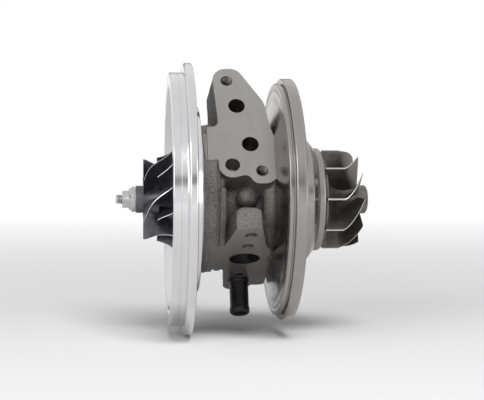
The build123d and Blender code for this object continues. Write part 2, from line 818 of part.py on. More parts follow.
def compressor_blade_section(sweep):
    """The compressor blade's section after this sweep of its quarter turn from axial to radial."""
    rise = 1 - cos(radians(sweep))
    run = sin(radians(sweep))
    hub_run = compressor_length + compressor_exit_width
    hub = (compressor_inlet + hub_run * run, compressor_hub_radius + hub_rise * rise)
    shroud = (compressor_inlet + compressor_length * run, compressor_inlet_radius + shroud_rise * rise)
    fast = compressor_fast_turn * (1 - exp(-sweep / compressor_turn_rate))
    turn = compressor_lead - fast - compressor_slow_turn * sweep
    return blade_section(hub, shroud, turn, compressor_root, compressor_tip)


hub_rise = compressor_radius - compressor_hub_radius
shroud_rise = compressor_radius - compressor_inlet_radius

# A full blade and a splitter blade of the compressor wheel
with BuildPart() as full_blade:
    full_sweeps = [quarter_turn * (step / 10) ** 1.4 for step in range(11)]
    loft([compressor_blade_section(sweep) for sweep in full_sweeps])

with BuildPart() as splitter_blade:
    splitter_range = quarter_turn - splitter_start
    splitter_sweeps = [splitter_start + splitter_range * step / 6 for step in range(7)]
    loft([compressor_blade_section(sweep) for sweep in splitter_sweeps])

# Compressor wheel: hub, back disc, full blades and splitters in one piece
with BuildPart() as compressor_wheel:
    with BuildSketch(Plane.XZ):
        with BuildLine():
            hub_length = compressor_length + compressor_exit_width
            wheel_bore = stub_radius + rotor_fit
            boss_radius = flinger_radius - inner_clearance
            nose_edge = compressor_hub_radius - small_chamfer
            hub_centre = (compressor_inlet, compressor_radius)
            EllipticalCenterArc(hub_centre, hub_length, hub_rise, 3 * quarter_turn, arc_size=quarter_turn)
            Polyline(
                (compressor_exit_hub, compressor_radius),
                (compressor_back, compressor_radius),
                (compressor_back, boss_radius),
                (flinger_start, boss_radius),
                (flinger_start, wheel_bore),
                (compressor_nose, wheel_bore),
                (compressor_nose, nose_edge),
                (compressor_nose + small_chamfer, compressor_hub_radius),
                (compressor_inlet, compressor_hub_radius),
            )
        make_face()
    revolve(axis=Axis.X)
    with Locations(wheel_plane):
        with PolarLocations(0, compressor_blades):
            add(full_blade.part)
        with PolarLocations(0, compressor_blades, start_angle=180 / compressor_blades):
            add(splitter_blade.part)
compressor_wheel.part.label = "compressor_wheel"
export_step(compressor_wheel.part, "parts/compressor_wheel.step")

# Nut: hexagon, cone and flange, clamping the compressor wheel
with BuildPart() as shaft_nut:
    with BuildSketch(Plane(origin=(nut_start, 0, 0), x_dir=(0, -1, 0), z_dir=(1, 0, 0))):
        RegularPolygon(nut_flats / 2, 6, major_radius=False)
    extrude(amount=nut_hex_length)
    nut_profile = axial_profile(
        (nut_cone_start, 0),
        (nut_cone_start, nut_cone_radius),
        (nut_flange_start, nut_flange_radius),
        (compressor_nose, nut_flange_radius),
        (compressor_nose, 0),
    )
    revolve(nut_profile, axis=Axis.X)
    nut_crown = axial_profile(
        (nut_start, nut_flats / 2),
        (nut_start, nut_flats),
        (nut_start + nut_flats / 4, nut_flats),
    )
    revolve(nut_crown, axis=Axis.X, mode=Mode.SUBTRACT)
    nut_bore = ring_profile(nut_start, compressor_nose, 0, thread_radius + rotor_fit)
    revolve(nut_bore, axis=Axis.X, mode=Mode.SUBTRACT)
shaft_nut.part.label = "shaft_nut"
export_step(shaft_nut.part, "parts/shaft_nut.step")

# Thrust collar: a hub that spaces the thrust bearing and a flange that runs on it
with BuildPart() as thrust_collar:
    collar_profile = axial_profile(
        (flinger_end, stub_radius + rotor_fit),
        (flinger_end, collar_hub_radius),
        (collar_start, collar_hub_radius),
        (collar_start, collar_radius),
        (collar_end, collar_radius),
        (collar_end, stub_radius + rotor_fit),
    )
    revolve(collar_profile, axis=Axis.X)
thrust_collar.part.label = "thrust_collar"
export_step(thrust_collar.part, "parts/thrust_collar.step")

# Oil flinger: a sleeve with a ring groove and a flange that throws the oil off
with BuildPart() as oil_flinger:
    flinger_groove_start = flinger_ring_x - ring_groove_width / 2
    flinger_profile = axial_profile(
        (flinger_start, stub_radius + rotor_fit),
        (flinger_start, flinger_radius),
        (flinger_groove_start, flinger_radius),
        (flinger_groove_start, flinger_radius - ring_depth),
        (flinger_groove_start + ring_groove_width, flinger_radius - ring_depth),
        (flinger_groove_start + ring_groove_width, flinger_radius),
        (flinger_flange_start, flinger_radius),
        (flinger_flange_start, collar_radius),
        (flinger_end, collar_radius),
        (flinger_end, stub_radius + rotor_fit),
    )
    revolve(flinger_profile, axis=Axis.X)
oil_flinger.part.label = "oil_flinger"
export_step(oil_flinger.part, "parts/oil_flinger.step")

# Thrust bearing: a plate with a drain notch, an oil groove and two pin holes
with BuildPart() as thrust_bearing:
    thrust_bore = collar_hub_radius + thrust_bore_fit
    revolve(ring_profile(thrust_face, recess_floor, thrust_bore, thrust_radius), axis=Axis.X)
    with BuildSketch(flange_plane(drain_normal, return_offset - return_radius)):
        with Locations(((thrust_face + recess_floor) / 2, 0)):
            Rectangle(2 * thrust_thickness, thrust_notch_width)
    extrude(amount=thrust_radius, mode=Mode.SUBTRACT)
    with BuildSketch(flange_plane(inlet_normal, collar_hub_radius)):
        with Locations((recess_floor, 0)):
            Rectangle(2 * thrust_groove_depth, thrust_groove_width)
    extrude(amount=gallery_offset + gallery_radius - collar_hub_radius, mode=Mode.SUBTRACT)
    with Locations(screw_plane):
        with PolarLocations(pin_circle, 2, start_angle=plate_screw_angle):
            Hole(pin_radius)
thrust_bearing.part.label = "thrust_bearing"
export_step(thrust_bearing.part, "parts/thrust_bearing.step")

# Two pins that keep the thrust bearing from turning
with BuildPart() as thrust_bearing_pins:
    with BuildSketch(Plane(origin=(thrust_face + pin_inset, 0, 0), x_dir=(0, -1, 0), z_dir=(-1, 0, 0))):
        with PolarLocations(pin_circle, 2, start_angle=plate_screw_angle):
            Circle(pin_radius)
    extrude(amount=-pin_length)
thrust_bearing_pins.part.label = "thrust_bearing_pins"
export_step(thrust_bearing_pins.part, "parts/thrust_bearing_pins.step")

# Oil baffle: a sheet ring in front of the thrust bearing, open towards the drain
with BuildPart() as oil_baffle:
    baffle_profile = ring_profile(
        drum_face,
        drum_face + baffle_thickness,
        baffle_hole_radius,
        thrust_radius,
    )
    revolve(baffle_profile, axis=Axis.X)
    with BuildSketch(flange_plane(drain_normal, return_offset)):
        with Locations((drum_face, 0)):
            Rectangle(4 * baffle_thickness, thrust_notch_width)
    extrude(amount=thrust_radius, mode=Mode.SUBTRACT)
oil_baffle.part.label = "oil_baffle"
export_step(oil_baffle.part, "parts/oil_baffle.step")


# Split seal rings, one at each end
with BuildPart() as piston_ring_compressor_end:
    ring_start = flinger_ring_x - ring_width / 2
    ring_inner_radius = flinger_radius - ring_depth + ring_back_gap
    ring_outer_radius = flinger_bore - rotor_fit
    revolve(
        ring_profile(ring_start, ring_start + ring_width, ring_inner_radius, ring_outer_radius),
        axis=Axis.X,
    )
    with BuildSketch(Plane.XY):
        with Locations((flinger_ring_x, 0)):
            Rectangle(2 * ring_width, ring_split)
    extrude(amount=2 * flinger_radius, mode=Mode.SUBTRACT)
piston_ring_compressor_end.part.label = "piston_ring_compressor_end"
export_step(piston_ring_compressor_end.part, "parts/piston_ring_compressor_end.step")

with BuildPart() as piston_ring_turbine_end:
    ring_start = shaft_ring_x - ring_width / 2
    ring_inner_radius = seal_boss_radius - ring_depth + ring_back_gap
    ring_outer_radius = seal_bore - rotor_fit
    revolve(
        ring_profile(ring_start, ring_start + ring_width, ring_inner_radius, ring_outer_radius),
        axis=Axis.X,
    )
    with BuildSketch(Plane.XY):
        with Locations((shaft_ring_x, 0)):
            Rectangle(2 * ring_width, ring_split)
    extrude(amount=2 * seal_boss_radius, mode=Mode.SUBTRACT)
piston_ring_turbine_end.part.label = "piston_ring_turbine_end"
export_step(piston_ring_turbine_end.part, "parts/piston_ring_turbine_end.step")


def bush_profile(x):
    """The floating bush's section, centred on station x, with chamfered ends."""
    start = x - bearing_length / 2
    end = x + bearing_length / 2
    return axial_profile(
        (start, bearing_bush_bore + small_chamfer),
        (start, bearing_bush_radius - small_chamfer),
        (start + small_chamfer, bearing_bush_radius),
        (end - small_chamfer, bearing_bush_radius),
        (end, bearing_bush_radius - small_chamfer),
        (end, bearing_bush_bore + small_chamfer),
        (end - small_chamfer, bearing_bush_bore),
        (start + small_chamfer, bearing_bush_bore),
    )


# Floating bushes, each with a ring of oil holes
with BuildPart() as journal_bearing_compressor_end:
    revolve(bush_profile(bearing_compressor_x), axis=Axis.X)
    with Locations(Plane(origin=(bearing_compressor_x, 0, 0), z_dir=(1, 0, 0))):
        with PolarLocations(0, bearing_oil_holes):
            bush_hole = (Align.CENTER, Align.CENTER, Align.MIN)
            Cylinder(
                bearing_oil_hole_radius,
                bearing_bore,
                rotation=(0, 90, 0),
                align=bush_hole,
                mode=Mode.SUBTRACT,
            )
journal_bearing_compressor_end.part.label = "journal_bearing_compressor_end"
export_step(journal_bearing_compressor_end.part, "parts/journal_bearing_compressor_end.step")

with BuildPart() as journal_bearing_turbine_end:
    revolve(bush_profile(bearing_turbine_x), axis=Axis.X)
    with Locations(Plane(origin=(bearing_turbine_x, 0, 0), z_dir=(1, 0, 0))):
        with PolarLocations(0, bearing_oil_holes):
            Cylinder(
                bearing_oil_hole_radius,
                bearing_bore,
                rotation=(0, 90, 0),
                align=bush_hole,
                mode=Mode.SUBTRACT,
            )
journal_bearing_turbine_end.part.label = "journal_bearing_turbine_end"
export_step(journal_bearing_turbine_end.part, "parts/journal_bearing_turbine_end.step")

# Open snap rings on both sides of each bush
with BuildPart() as bearing_retaining_rings:
    for station in snap_ring_stations:
        ring_start = station - snap_ring_width / 2
        snap_profile = ring_profile(
            ring_start,
            ring_start + snap_ring_width,
            bearing_bore - snap_ring_bite,
            snap_groove_radius - bearing_outer_fit,
        )
        revolve(snap_profile, axis=Axis.X)
    with BuildSketch(Plane.XY):
        with Locations(((land_compressor_start + slinger_end) / 2, 0)):
            Rectangle(housing_length + nose_end, snap_ring_opening)
    extrude(amount=snap_groove_radius, mode=Mode.SUBTRACT)
bearing_retaining_rings.part.label = "bearing_retaining_rings"
export_step(bearing_retaining_rings.part, "parts/bearing_retaining_rings.step")

# Orifice insert at the bottom of the oil inlet
with BuildPart() as oil_inlet_orifice:
    with BuildSketch(inlet_face.offset(-oil_inlet_depth - orifice_length)):
        with Locations((oil_inlet_x, 0)):
            Circle(orifice_seat_radius)
            Circle(orifice_radius, mode=Mode.SUBTRACT)
    extrude(amount=orifice_length)
    crown_rim = oil_inlet_orifice.edges().filter_by(GeomType.CIRCLE).sort_by(Axis.Z)[-2:]
    chamfer(crown_rim.sort_by(SortBy.RADIUS)[-1], length=orifice_crown)
oil_inlet_orifice.part.label = "oil_inlet_orifice"
export_step(oil_inlet_orifice.part, "parts/oil_inlet_orifice.step")

# Coolant nipple: a tube whose wider end is pressed into the drain flange
with BuildPart() as coolant_nipple:
    with BuildSketch(drain_face):
        with Locations((nipple_x, -nipple_offset)):
            Circle(nipple_radius)
    extrude(amount=nipple_length)
    nipple_mouth = coolant_nipple.faces().sort_by(Axis(origin=(0, 0, 0), direction=drain_normal))[-1]
    chamfer(nipple_mouth.edges(), length=nipple_chamfer)
    with BuildSketch(drain_face.offset(-nipple_seat_depth)):
        with Locations((nipple_x, -nipple_offset)):
            Circle(nipple_seat_radius)
    extrude(amount=nipple_seat_depth)
    with Locations(drain_face.offset(nipple_length)):
        with Locations((nipple_x, -nipple_offset)):
            Hole(nipple_bore)
coolant_nipple.part.label = "coolant_nipple"
export_step(coolant_nipple.part, "parts/coolant_nipple.step")
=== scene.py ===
"""Dresses the turbo cartridge: castings, turned faces, wheels, threads and metals, on a pale floor."""

import math

import bmesh
import bpy
from bpy.props import FloatProperty, FloatVectorProperty, IntProperty, PointerProperty
from mathutils import Matrix, Vector, noise


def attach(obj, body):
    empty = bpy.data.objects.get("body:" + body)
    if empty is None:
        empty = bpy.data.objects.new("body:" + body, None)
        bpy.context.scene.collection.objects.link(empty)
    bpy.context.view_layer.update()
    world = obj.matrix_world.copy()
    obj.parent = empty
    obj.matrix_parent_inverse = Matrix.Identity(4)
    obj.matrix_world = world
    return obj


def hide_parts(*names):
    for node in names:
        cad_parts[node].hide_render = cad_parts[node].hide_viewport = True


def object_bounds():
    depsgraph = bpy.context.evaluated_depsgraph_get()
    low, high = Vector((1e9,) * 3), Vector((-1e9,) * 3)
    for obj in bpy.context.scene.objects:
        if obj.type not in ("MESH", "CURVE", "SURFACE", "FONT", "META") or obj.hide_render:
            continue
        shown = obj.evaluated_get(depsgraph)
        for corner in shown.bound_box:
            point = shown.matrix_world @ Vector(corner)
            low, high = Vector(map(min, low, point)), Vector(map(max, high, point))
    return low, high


bl_info = {
    "name": "Turbo Cartridge",
    "version": (1, 0, 0),
    "blender": (4, 5, 0),
    "location": "View3D > Sidebar > Cartridge",
    "description": "Builds and finishes the pieces of a turbo cartridge around its packed frame",
    "category": "Add Mesh",
}

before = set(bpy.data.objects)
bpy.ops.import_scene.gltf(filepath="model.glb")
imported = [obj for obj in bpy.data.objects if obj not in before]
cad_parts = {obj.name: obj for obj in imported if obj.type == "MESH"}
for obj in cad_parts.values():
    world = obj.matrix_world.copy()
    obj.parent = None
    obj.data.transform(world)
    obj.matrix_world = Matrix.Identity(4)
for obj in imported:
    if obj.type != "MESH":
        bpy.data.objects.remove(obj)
cad_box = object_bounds()

MM = 0.001
FULL_TURN = 2 * math.pi
CREASE = math.radians(32)
SHAFT = Vector((1, 0, 0))

# Stations along the shaft in millimetres, the turbine end's mounting face at zero
STUD_TIP = -88.4
WHEEL_NOSE = -78.4
WHEEL_INLET = -74.7
SPIGOT_FRONT = -62.1
WHEEL_SHROUD_END = -58.6
WHEEL_HUB_END = -56.2
WHEEL_BACK = -55.4
PLATE_FRONT = -55.2
PLATE_POCKET = -54.9
WHEEL_BOSS_END = -54.6
PLATE_REAR = -50.8
PLATE_BACK = -47.4
DRUM_FACE = -46.2
DRUM_BACK = -39.7
GROOVE_END = -38.8
JACKET_BORE_START = -14.5
DISC_FACE_START = -14.0
DISC_BACK = -8.4
DISC_FRONT = -5.6
PILOT_END = 8.2
NOSE_SHOULDER = 11.4
SHIELD_START = 11.6
WELD = 13.0
NOSE_END = 14.2
SHIELD_FACE = 15.0
TURBINE_BACK = 15.4
TURBINE_DISC_FACE = 16.6
TURBINE_TIP_END = 24.0
TURBINE_EXIT = 34.8
TURBINE_NOSE_END = 40.1

# Radii in millimetres
STUD_RADIUS = 2.12
WHEEL_BORE_RADIUS = 2.77
JOURNAL_RADIUS = 4.0
WHEEL_BOSS_RADIUS = 5.3
WHEEL_HUB_RADIUS = 6.9
SEAL_RADIUS = 7.2
TURBINE_NOSE_RADIUS = 7.3
WHEEL_INLET_RADIUS = 20.3
TURBINE_EXIT_RADIUS = 22.9
TURBINE_DISC_RADIUS = 23.2
TURBINE_RADIUS = 26.2
WHEEL_RADIUS = 29.0
PILOT_RADIUS = 31.0
DISC_RADIUS = 61.6
SPIGOT_RADIUS = 64.1
PLATE_RADIUS = 68.9

# The two flanges: their faces' directions and distances from the shaft, and what stands in them
INLET_TILT = math.radians(29.0)
INLET_DISTANCE = 34.5
INLET_RELIEF = 1.4
DRAIN_TILT = math.radians(22.75)
DRAIN_DISTANCE = 32.3
INLET_NORMAL = Vector((0, -math.cos(INLET_TILT), math.sin(INLET_TILT)))
DRAIN_NORMAL = Vector((0, -math.sin(DRAIN_TILT), -math.cos(DRAIN_TILT)))
NIPPLE_X = -24.2
NIPPLE_OFFSET = -33.5
NIPPLE_SEAT_RADIUS = 5.7
NIPPLE_SEAT_DEPTH = 9.0
ORIFICE_X = -32.0
ORIFICE_FOOT = 11.5

# Holes in each flange: station, place across the flange, radius with its chamfer, depth
INLET_HOLES = (
    (-32.9, 49.3, 3.0, 13.0),
    (-17.8, -3.3, 3.0, 13.0),
    (-28.5, 34.2, 4.15, 14.5),
    (-22.8, 11.8, 4.15, 14.5),
    (ORIFICE_X, 0.0, 3.65, 7.5),
    (ORIFICE_X, 0.0, 2.9, ORIFICE_FOOT),
)
DRAIN_HOLES = (
    (-24.4, 0.0, 7.7, 21.9),
    (-24.4, 32.8, 3.0, 9.0),
    (-24.4, 17.8, 3.0, 9.0),
    (-24.4, -24.4, 1.8, 6.0),
    (NIPPLE_X, NIPPLE_OFFSET, NIPPLE_SEAT_RADIUS, NIPPLE_SEAT_DEPTH),
)
FLANGES = (
    (INLET_NORMAL, INLET_DISTANCE, INLET_HOLES),
    (DRAIN_NORMAL, DRAIN_DISTANCE, DRAIN_HOLES),
)
THREADED_HOLES = (
    (INLET_NORMAL, INLET_DISTANCE, INLET_HOLES[:2]),
    (DRAIN_NORMAL, DRAIN_DISTANCE, DRAIN_HOLES[1:3]),
)


def across_flange(normal):
    """The direction on a flange's face that is square to the shaft."""
    return normal.cross(SHAFT)


def flange_point(normal, distance, x, across):
    """The place of a point in a flange's own frame, in metres."""
    return (SHAFT * x + across_flange(normal) * across + normal * distance) * MM


# Settings that a user would change


def length(name, description, millimetres):
    """A length setting, with its default in millimetres."""
    return FloatProperty(name=name, description=description, default=millimetres * MM, unit="LENGTH")


def colour(name, description, value):
    """A colour setting with four channels."""
    return FloatVectorProperty(
        name=name,
        description=description,
        subtype="COLOR",
        size=4,
        min=0,
        max=1,
        default=(*value, 1.0),
    )


class CartridgeSizes(bpy.types.PropertyGroup):
    """Sizes of the finish that is modelled on the pieces."""

    turned_steps: IntProperty(
        name="Turned steps",
        description="Facets round a turned piece",
        default=224,
        min=48,
        max=360,
    )
    casting_softness: IntProperty(
        name="Casting softness",
        description="Smoothing passes that round the cast corners",
        default=3,
        min=0,
        max=40,
    )
    casting_edge: length("Casting edge", "Longest edge in the mesh of the cast surfaces", 0.9)
    casting_lumps: length("Casting lumps", "Height of the uneven cast skin", 0.12)
    blade_edge: length("Blade edge", "Rounding of the blades' free edges", 0.12)
    screw_pitch: length("Screw pitch", "Pitch of the threads in the flange holes", 1.0)
    stud_pitch: length("Stud pitch", "Pitch of the thread on the shaft's end", 0.8)


class CartridgeFinish(bpy.types.PropertyGroup):
    """Colours of the cartridge's metals."""

    cast_iron: colour("Cast iron", "Rough skin of the housing", (0.114, 0.107, 0.102))
    milled_iron: colour("Milled iron", "Flange faces and turned iron", (0.355, 0.332, 0.318))
    aluminium: colour("Aluminium", "Turned backplate", (0.70, 0.70, 0.715))
    wheel_aluminium: colour("Wheel aluminium", "Compressor wheel", (0.105, 0.105, 0.120))
    # The blade rims' colour is partly the machined edge and partly a painted highlight along the rims
    wheel_edge: colour("Wheel edge", "Machined edges of the compressor blades", (0.78, 0.78, 0.80))
    nickel_alloy: colour("Nickel alloy", "Turbine wheel", (0.165, 0.148, 0.138))
    # The turbine blade rims' colour is partly the ground edge and partly a painted highlight along the rims
    nickel_edge: colour("Nickel edge", "Ground edges of the turbine blades", (0.62, 0.60, 0.56))
    bright_steel: colour("Bright steel", "Nut, shaft and screws", (0.50, 0.50, 0.50))
    satin_steel: colour("Satin steel", "Insert in the oil inlet", (0.80, 0.80, 0.79))
    shield_steel: colour("Shield steel", "Pressed heat shield", (0.33, 0.315, 0.30))
    bronze: colour("Bronze", "Floating bushes and thrust plate", (0.60, 0.40, 0.20))
    black_steel: colour("Black steel", "Coated coolant nipple", (0.012, 0.014, 0.014))
    rubber: colour("Rubber", "Seal ring", (0.012, 0.012, 0.013))


class CartridgeStage(bpy.types.PropertyGroup):
    """Camera and light."""

    floor: colour("Floor", "Colour of the floor", (0.80, 0.80, 0.80))
    camera_yaw: FloatProperty(
        name="Camera yaw",
        description="Turn of the view towards the turbine end",
        default=math.radians(6.104),
        subtype="ANGLE",
    )
    camera_distance: length("Camera distance", "Distance of the camera in front of the shaft", 550.0)
    key_power: FloatProperty(
        name="Key power",
        description="Power of the large lamp over the front",
        default=29.0,
        unit="POWER",
    )
    room_light: FloatProperty(
        name="Room light",
        description="Strength of the light that the room itself gives",
        default=0.32,
        min=0,
        max=1,
    )


# Mesh work that several pieces share


def metals_beside(edge):
    """How many different metals the faces beside an edge have."""
    return len({face.material_index for face in edge.link_faces})


def finished(bm, name, metals, body, nodes=(), crisp=False):
    """Closes a bmesh into a shaded piece that rides on its body and stands for its nodes.

    A crisp piece has a sharp edge wherever one of its metals meets another.
    """
    bm.edges.index_update()
    borders = [edge.index for edge in bm.edges if crisp and metals_beside(edge) > 1]
    mesh = bpy.data.meshes.new(name)
    bm.to_mesh(mesh)
    bm.free()
    mesh.shade_smooth()
    mesh.set_sharp_from_angle(angle=CREASE)
    for border in borders:
        mesh.edges[border].use_edge_sharp = True
    for finish in metals:
        mesh.materials.append(metal(finish))
    piece = bpy.data.objects.new(name, mesh)
    bpy.context.scene.collection.objects.link(piece)
    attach(piece, body)
    if nodes:
        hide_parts(*nodes)
    return piece


def joined(*parts):
    """One bmesh from several."""
    whole = bmesh.new()
    for part in parts:
        single = bpy.data.meshes.new("part")
        part.to_mesh(single)
        part.free()
        whole.from_mesh(single)
        bpy.data.meshes.remove(single)
    return whole


def merged_copy(node):
    """A bmesh of a node's surface with its loose triangles joined."""
    bm = bmesh.new()
    bm.from_mesh(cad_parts[node].data)
    bmesh.ops.remove_doubles(bm, verts=bm.verts, dist=0.0005 * MM)
    return bm


def bevelled(bm, geom, offset, segments, affect):
    """Rounds corners or edges by an offset in metres."""
    bmesh.ops.bevel(
        bm,
        geom=geom,
        offset=offset,
        offset_type="OFFSET",
        segments=segments,
        profile=0.5,
        affect=affect,
        material=-1,
        clamp_overlap=affect == "EDGES",
    )


def swept(bm, angle, steps, travel=0.0, merge=False):
    """Spins everything in the bmesh about the shaft, with this travel along it at each step."""
    bmesh.ops.spin(
        bm,
        geom=bm.verts[:] + bm.edges[:],
        cent=(0, 0, 0),
        axis=SHAFT,
        dvec=(travel, 0, 0),
        angle=angle,
        steps=steps,
        use_merge=merge,
        use_duplicate=False,
    )


def turned(points, steps=None, segments=3):
    """A bmesh turned about the shaft from (station, radius, rounding) points, its corners rounded."""
    bm = bmesh.new()
    corners = [bm.verts.new((x * MM, 0, radius * MM)) for x, radius, _ in points]
    for start, end in zip(corners, corners[1:]):
        bm.edges.new((start, end))
    for rounding in sorted({point[2] for point in points if point[2]}):
        rounded = [corner for corner, point in zip(corners, points) if point[2] == rounding]
        bevelled(bm, rounded, rounding * MM, segments, "VERTICES")
    swept(bm, FULL_TURN, steps or bpy.context.scene.cartridge_sizes.turned_steps, merge=True)
    bmesh.ops.remove_doubles(bm, verts=bm.verts, dist=0.002 * MM)
    bmesh.ops.recalc_face_normals(bm, faces=bm.faces)
    return bm


def quarter_ellipse(station, radius, reach, rise, steps=28):
    """(station, radius, rounding) points of a curve that starts along the shaft and ends square to it."""
    points = []
    for step in range(steps + 1):
        angle = math.pi / 2 * step / steps
        points.append((station + reach * math.sin(angle), radius + rise * (1 - math.cos(angle)), 0))
    return points


def edge_runs(edge, axis):
    """Whether the edge runs along one axis."""
    run = edge.verts[1].co - edge.verts[0].co
    return abs(run[axis]) > 0.99 * run.length


def bent_blade(along, up, section):
    """A bmesh of one slab that follows section(share along, share up, side), its rim marked."""
    bm = bmesh.new()
    bmesh.ops.create_cube(bm, size=1.0)
    for axis, cuts in ((0, along), (2, up)):
        edges = [edge for edge in bm.edges if edge_runs(edge, axis)]
        bmesh.ops.subdivide_edges(bm, edges=edges, cuts=cuts)
    bm.normal_update()
    for face in bm.faces:
        # Rim faces take the second metal: a bright edge that is partly machined and partly a painted
        # highlight
        face.material_index = 0 if abs(face.normal.y) > 0.5 else 1
    for vert in bm.verts:
        vert.co = section(vert.co.x + 0.5, vert.co.z + 0.5, vert.co.y * 2)
    bmesh.ops.recalc_face_normals(bm, faces=bm.faces)
    return bm


def ring_of(blade, count, width, first_turn=0.0):
    """Rounds a blade's rim by this width and repeats the blade round the shaft, count in all."""
    rim = [edge for edge in blade.edges if metals_beside(edge) == 2]
    bevelled(blade, rim, width, 2, "EDGES")
    turn_by = Matrix.Rotation(first_turn, 3, "X")
    bmesh.ops.rotate(blade, verts=blade.verts, cent=(0, 0, 0), matrix=turn_by)
    first = blade.verts[:] + blade.edges[:] + blade.faces[:]
    for step in range(1, count):
        copy = bmesh.ops.duplicate(blade, geom=first)
        verts = [part for part in copy["geom"] if isinstance(part, bmesh.types.BMVert)]
        turn_by = Matrix.Rotation(FULL_TURN * step / count, 3, "X")
        bmesh.ops.rotate(blade, verts=verts, cent=(0, 0, 0), matrix=turn_by)
    return blade


# Housing: its casting, its turned turbine end and its backplate

# Bored faces take the milled iron painted darker, as painted shade in the holes, bores and groove floor
CAST, MILLED, BORED_PAINTED_SHADE, TURNED = range(4)

# What tells the housing's surfaces apart: radii in millimetres, and the cosines that their faces make
BORES_RADIUS = 20.5
JACKET_RADIUS = 28.5
DISC_FACE_RADIUS = 34.0
GROOVE_FLOOR_RADII = (35.5, 37.9)
SAME_WAY = 0.9995
DISC_FACE_WAY = -0.97

# How far off, in millimetres, a face may lie and still belong to a surface
FACE_SLACK = 0.03
GROOVE_SLACK = 0.02
EDGE_SLACK = 0.05
HOLE_SLACK = 0.06
HOLE_FLOOR_SLACK = 0.3

# The uneven cast skin: how close its lumps and its grit lie, and the grit's height against the lumps'
LUMPS_PER_MM = 0.55
GRIT_PER_MM = 1.9
GRIT_SHARE = 0.6

FEWEST_CUT_FACES = 1000


def on_face(face, place, normal, distance):
    """Whether a face of the mesh lies on the flat face with this normal and distance from the shaft."""
    return face.normal.dot(normal) > SAME_WAY and abs(place.dot(normal) - distance) < FACE_SLACK


def in_hole(place, normal, distance, holes):
    """Whether a point lies in one of a flange's holes."""
    depth = distance - place.dot(normal)
    if depth < -EDGE_SLACK:
        return False
    across = place.dot(across_flange(normal))
    for x, offset, radius, hole_depth in holes:
        inside = math.hypot(place.x - x, across - offset) < radius + HOLE_SLACK
        if inside and depth <= hole_depth + HOLE_FLOOR_SLACK:
            return True
    return False


def housing_surface(face):
    """Which surface a face of the housing is: cast, milled, bored or turned."""
    place = face.calc_center_median() / MM
    radius = math.hypot(place.y, place.z)
    if radius < BORES_RADIUS or (radius < JACKET_RADIUS and place.x > JACKET_BORE_START):
        return BORED_PAINTED_SHADE
    for normal, distance, holes in FLANGES:
        if on_face(face, place, normal, distance):
            return MILLED
        if in_hole(place, normal, distance, holes):
            return BORED_PAINTED_SHADE
    if on_face(face, place, INLET_NORMAL, INLET_DISTANCE - INLET_RELIEF):
        return MILLED
    if place.x < DRUM_FACE + EDGE_SLACK:
        return MILLED
    if face.normal.x < DISC_FACE_WAY and place.x > DISC_FACE_START and radius > DISC_FACE_RADIUS:
        return TURNED
    # The groove floor counts as bored, so it takes the bored metal, painted darker as shade in the groove
    low, high = GROOVE_FLOOR_RADII
    if DRUM_BACK - GROOVE_SLACK < place.x < GROOVE_END + GROOVE_SLACK and low < radius < high:
        return BORED_PAINTED_SHADE
    return CAST


def cast_faces(bm):
    """The faces of the mesh that are cast."""
    return [face for face in bm.faces if face.material_index == CAST]


def edges_of(faces):
    """Each edge of these faces once, in their order."""
    return list(dict.fromkeys(edge for face in faces for edge in face.edges))


def lies_flat(edge, most=0.12):
    """Whether an edge parts two faces of one surface, at this angle at most."""
    if not edge.is_manifold or metals_beside(edge) > 1:
        return False
    return edge.calc_face_angle(0) < most


def even_cast_mesh(bm, longest, rounds=9, share=0.45):
    """Cuts the cast faces until no edge is longer than this, in each round those over a share of the top."""
    for _ in range(rounds):
        over = [edge for edge in edges_of(cast_faces(bm)) if edge.calc_length() > longest]
        if not over:
            break
        limit = max(longest, share * max(edge.calc_length() for edge in over))
        cut = [edge for edge in over if edge.calc_length() > limit]
        bmesh.ops.subdivide_edges(bm, edges=cut, cuts=1)
        split = [face for face in bm.faces if len(face.verts) > 3]
        bmesh.ops.triangulate(bm, faces=split, quad_method="BEAUTY", ngon_method="BEAUTY")
        cast = cast_faces(bm)
        flat = [edge for edge in edges_of(cast) if lies_flat(edge)]
        bmesh.ops.beautify_fill(bm, faces=cast, edges=flat, use_restrict_tag=False, method="ANGLE")


def soften_cast_skin(bm, passes, lumps):
    """Rounds the cast corners and gives the skin its lumps, up to the machined edges."""
    free = [v for v in bm.verts if v.link_faces and all(f.material_index == CAST for f in v.link_faces)]
    for _ in range(passes):
        bmesh.ops.smooth_vert(
            bm,
            verts=free,
            factor=0.5,
            use_axis_x=True,
            use_axis_y=True,
            use_axis_z=True,
        )
    bm.normal_update()
    moves = []
    for vert in free:
        place = vert.co / MM
        lump = noise.fractal(place * LUMPS_PER_MM, 1.0, 2.0, 3)
        lump += GRIT_SHARE * noise.noise(place * GRIT_PER_MM)
        moves.append(vert.normal * lump * lumps)
    for vert, move in zip(free, moves):
        vert.co += move


def cut_behind(bm, station):
    """Cuts everything past this station off and closes the cut."""
    cut = bmesh.ops.bisect_plane(
        bm,
        geom=bm.verts[:] + bm.edges[:] + bm.faces[:],
        dist=0.0001 * MM,
        plane_co=(station * MM, 0, 0),
        plane_no=SHAFT,
        clear_outer=True,
    )
    rim = [part for part in cut["geom_cut"] if isinstance(part, bmesh.types.BMEdge)]
    fill = bmesh.ops.triangle_fill(bm, use_beauty=True, use_dissolve=False, edges=rim, normal=SHAFT)
    for face in fill["geom"]:
        if isinstance(face, bmesh.types.BMFace):
            face.material_index = BORED_PAINTED_SHADE


class CARTRIDGE_OT_housing(bpy.types.Operator):
    """Cast body of the bearing housing, with its milled flange faces and drilled holes"""

    bl_idname = "cartridge.housing"
    bl_label = "Housing casting"

    def execute(self, context):
        sizes = context.scene.cartridge_sizes
        bm = merged_copy("bearing_housing")
        for face in bm.faces:
            face.material_index = housing_surface(face)
        cut_behind(bm, DISC_BACK - 0.2)
        even_cast_mesh(bm, sizes.casting_edge)
        soften_cast_skin(bm, sizes.casting_softness, sizes.casting_lumps)
        metals = ("cast_iron", "milled_iron", "bored_iron", "turned_iron")
        finished(bm, "housing_casting", metals, "housing", ["bearing_housing"], crisp=True)
        return {"FINISHED"}


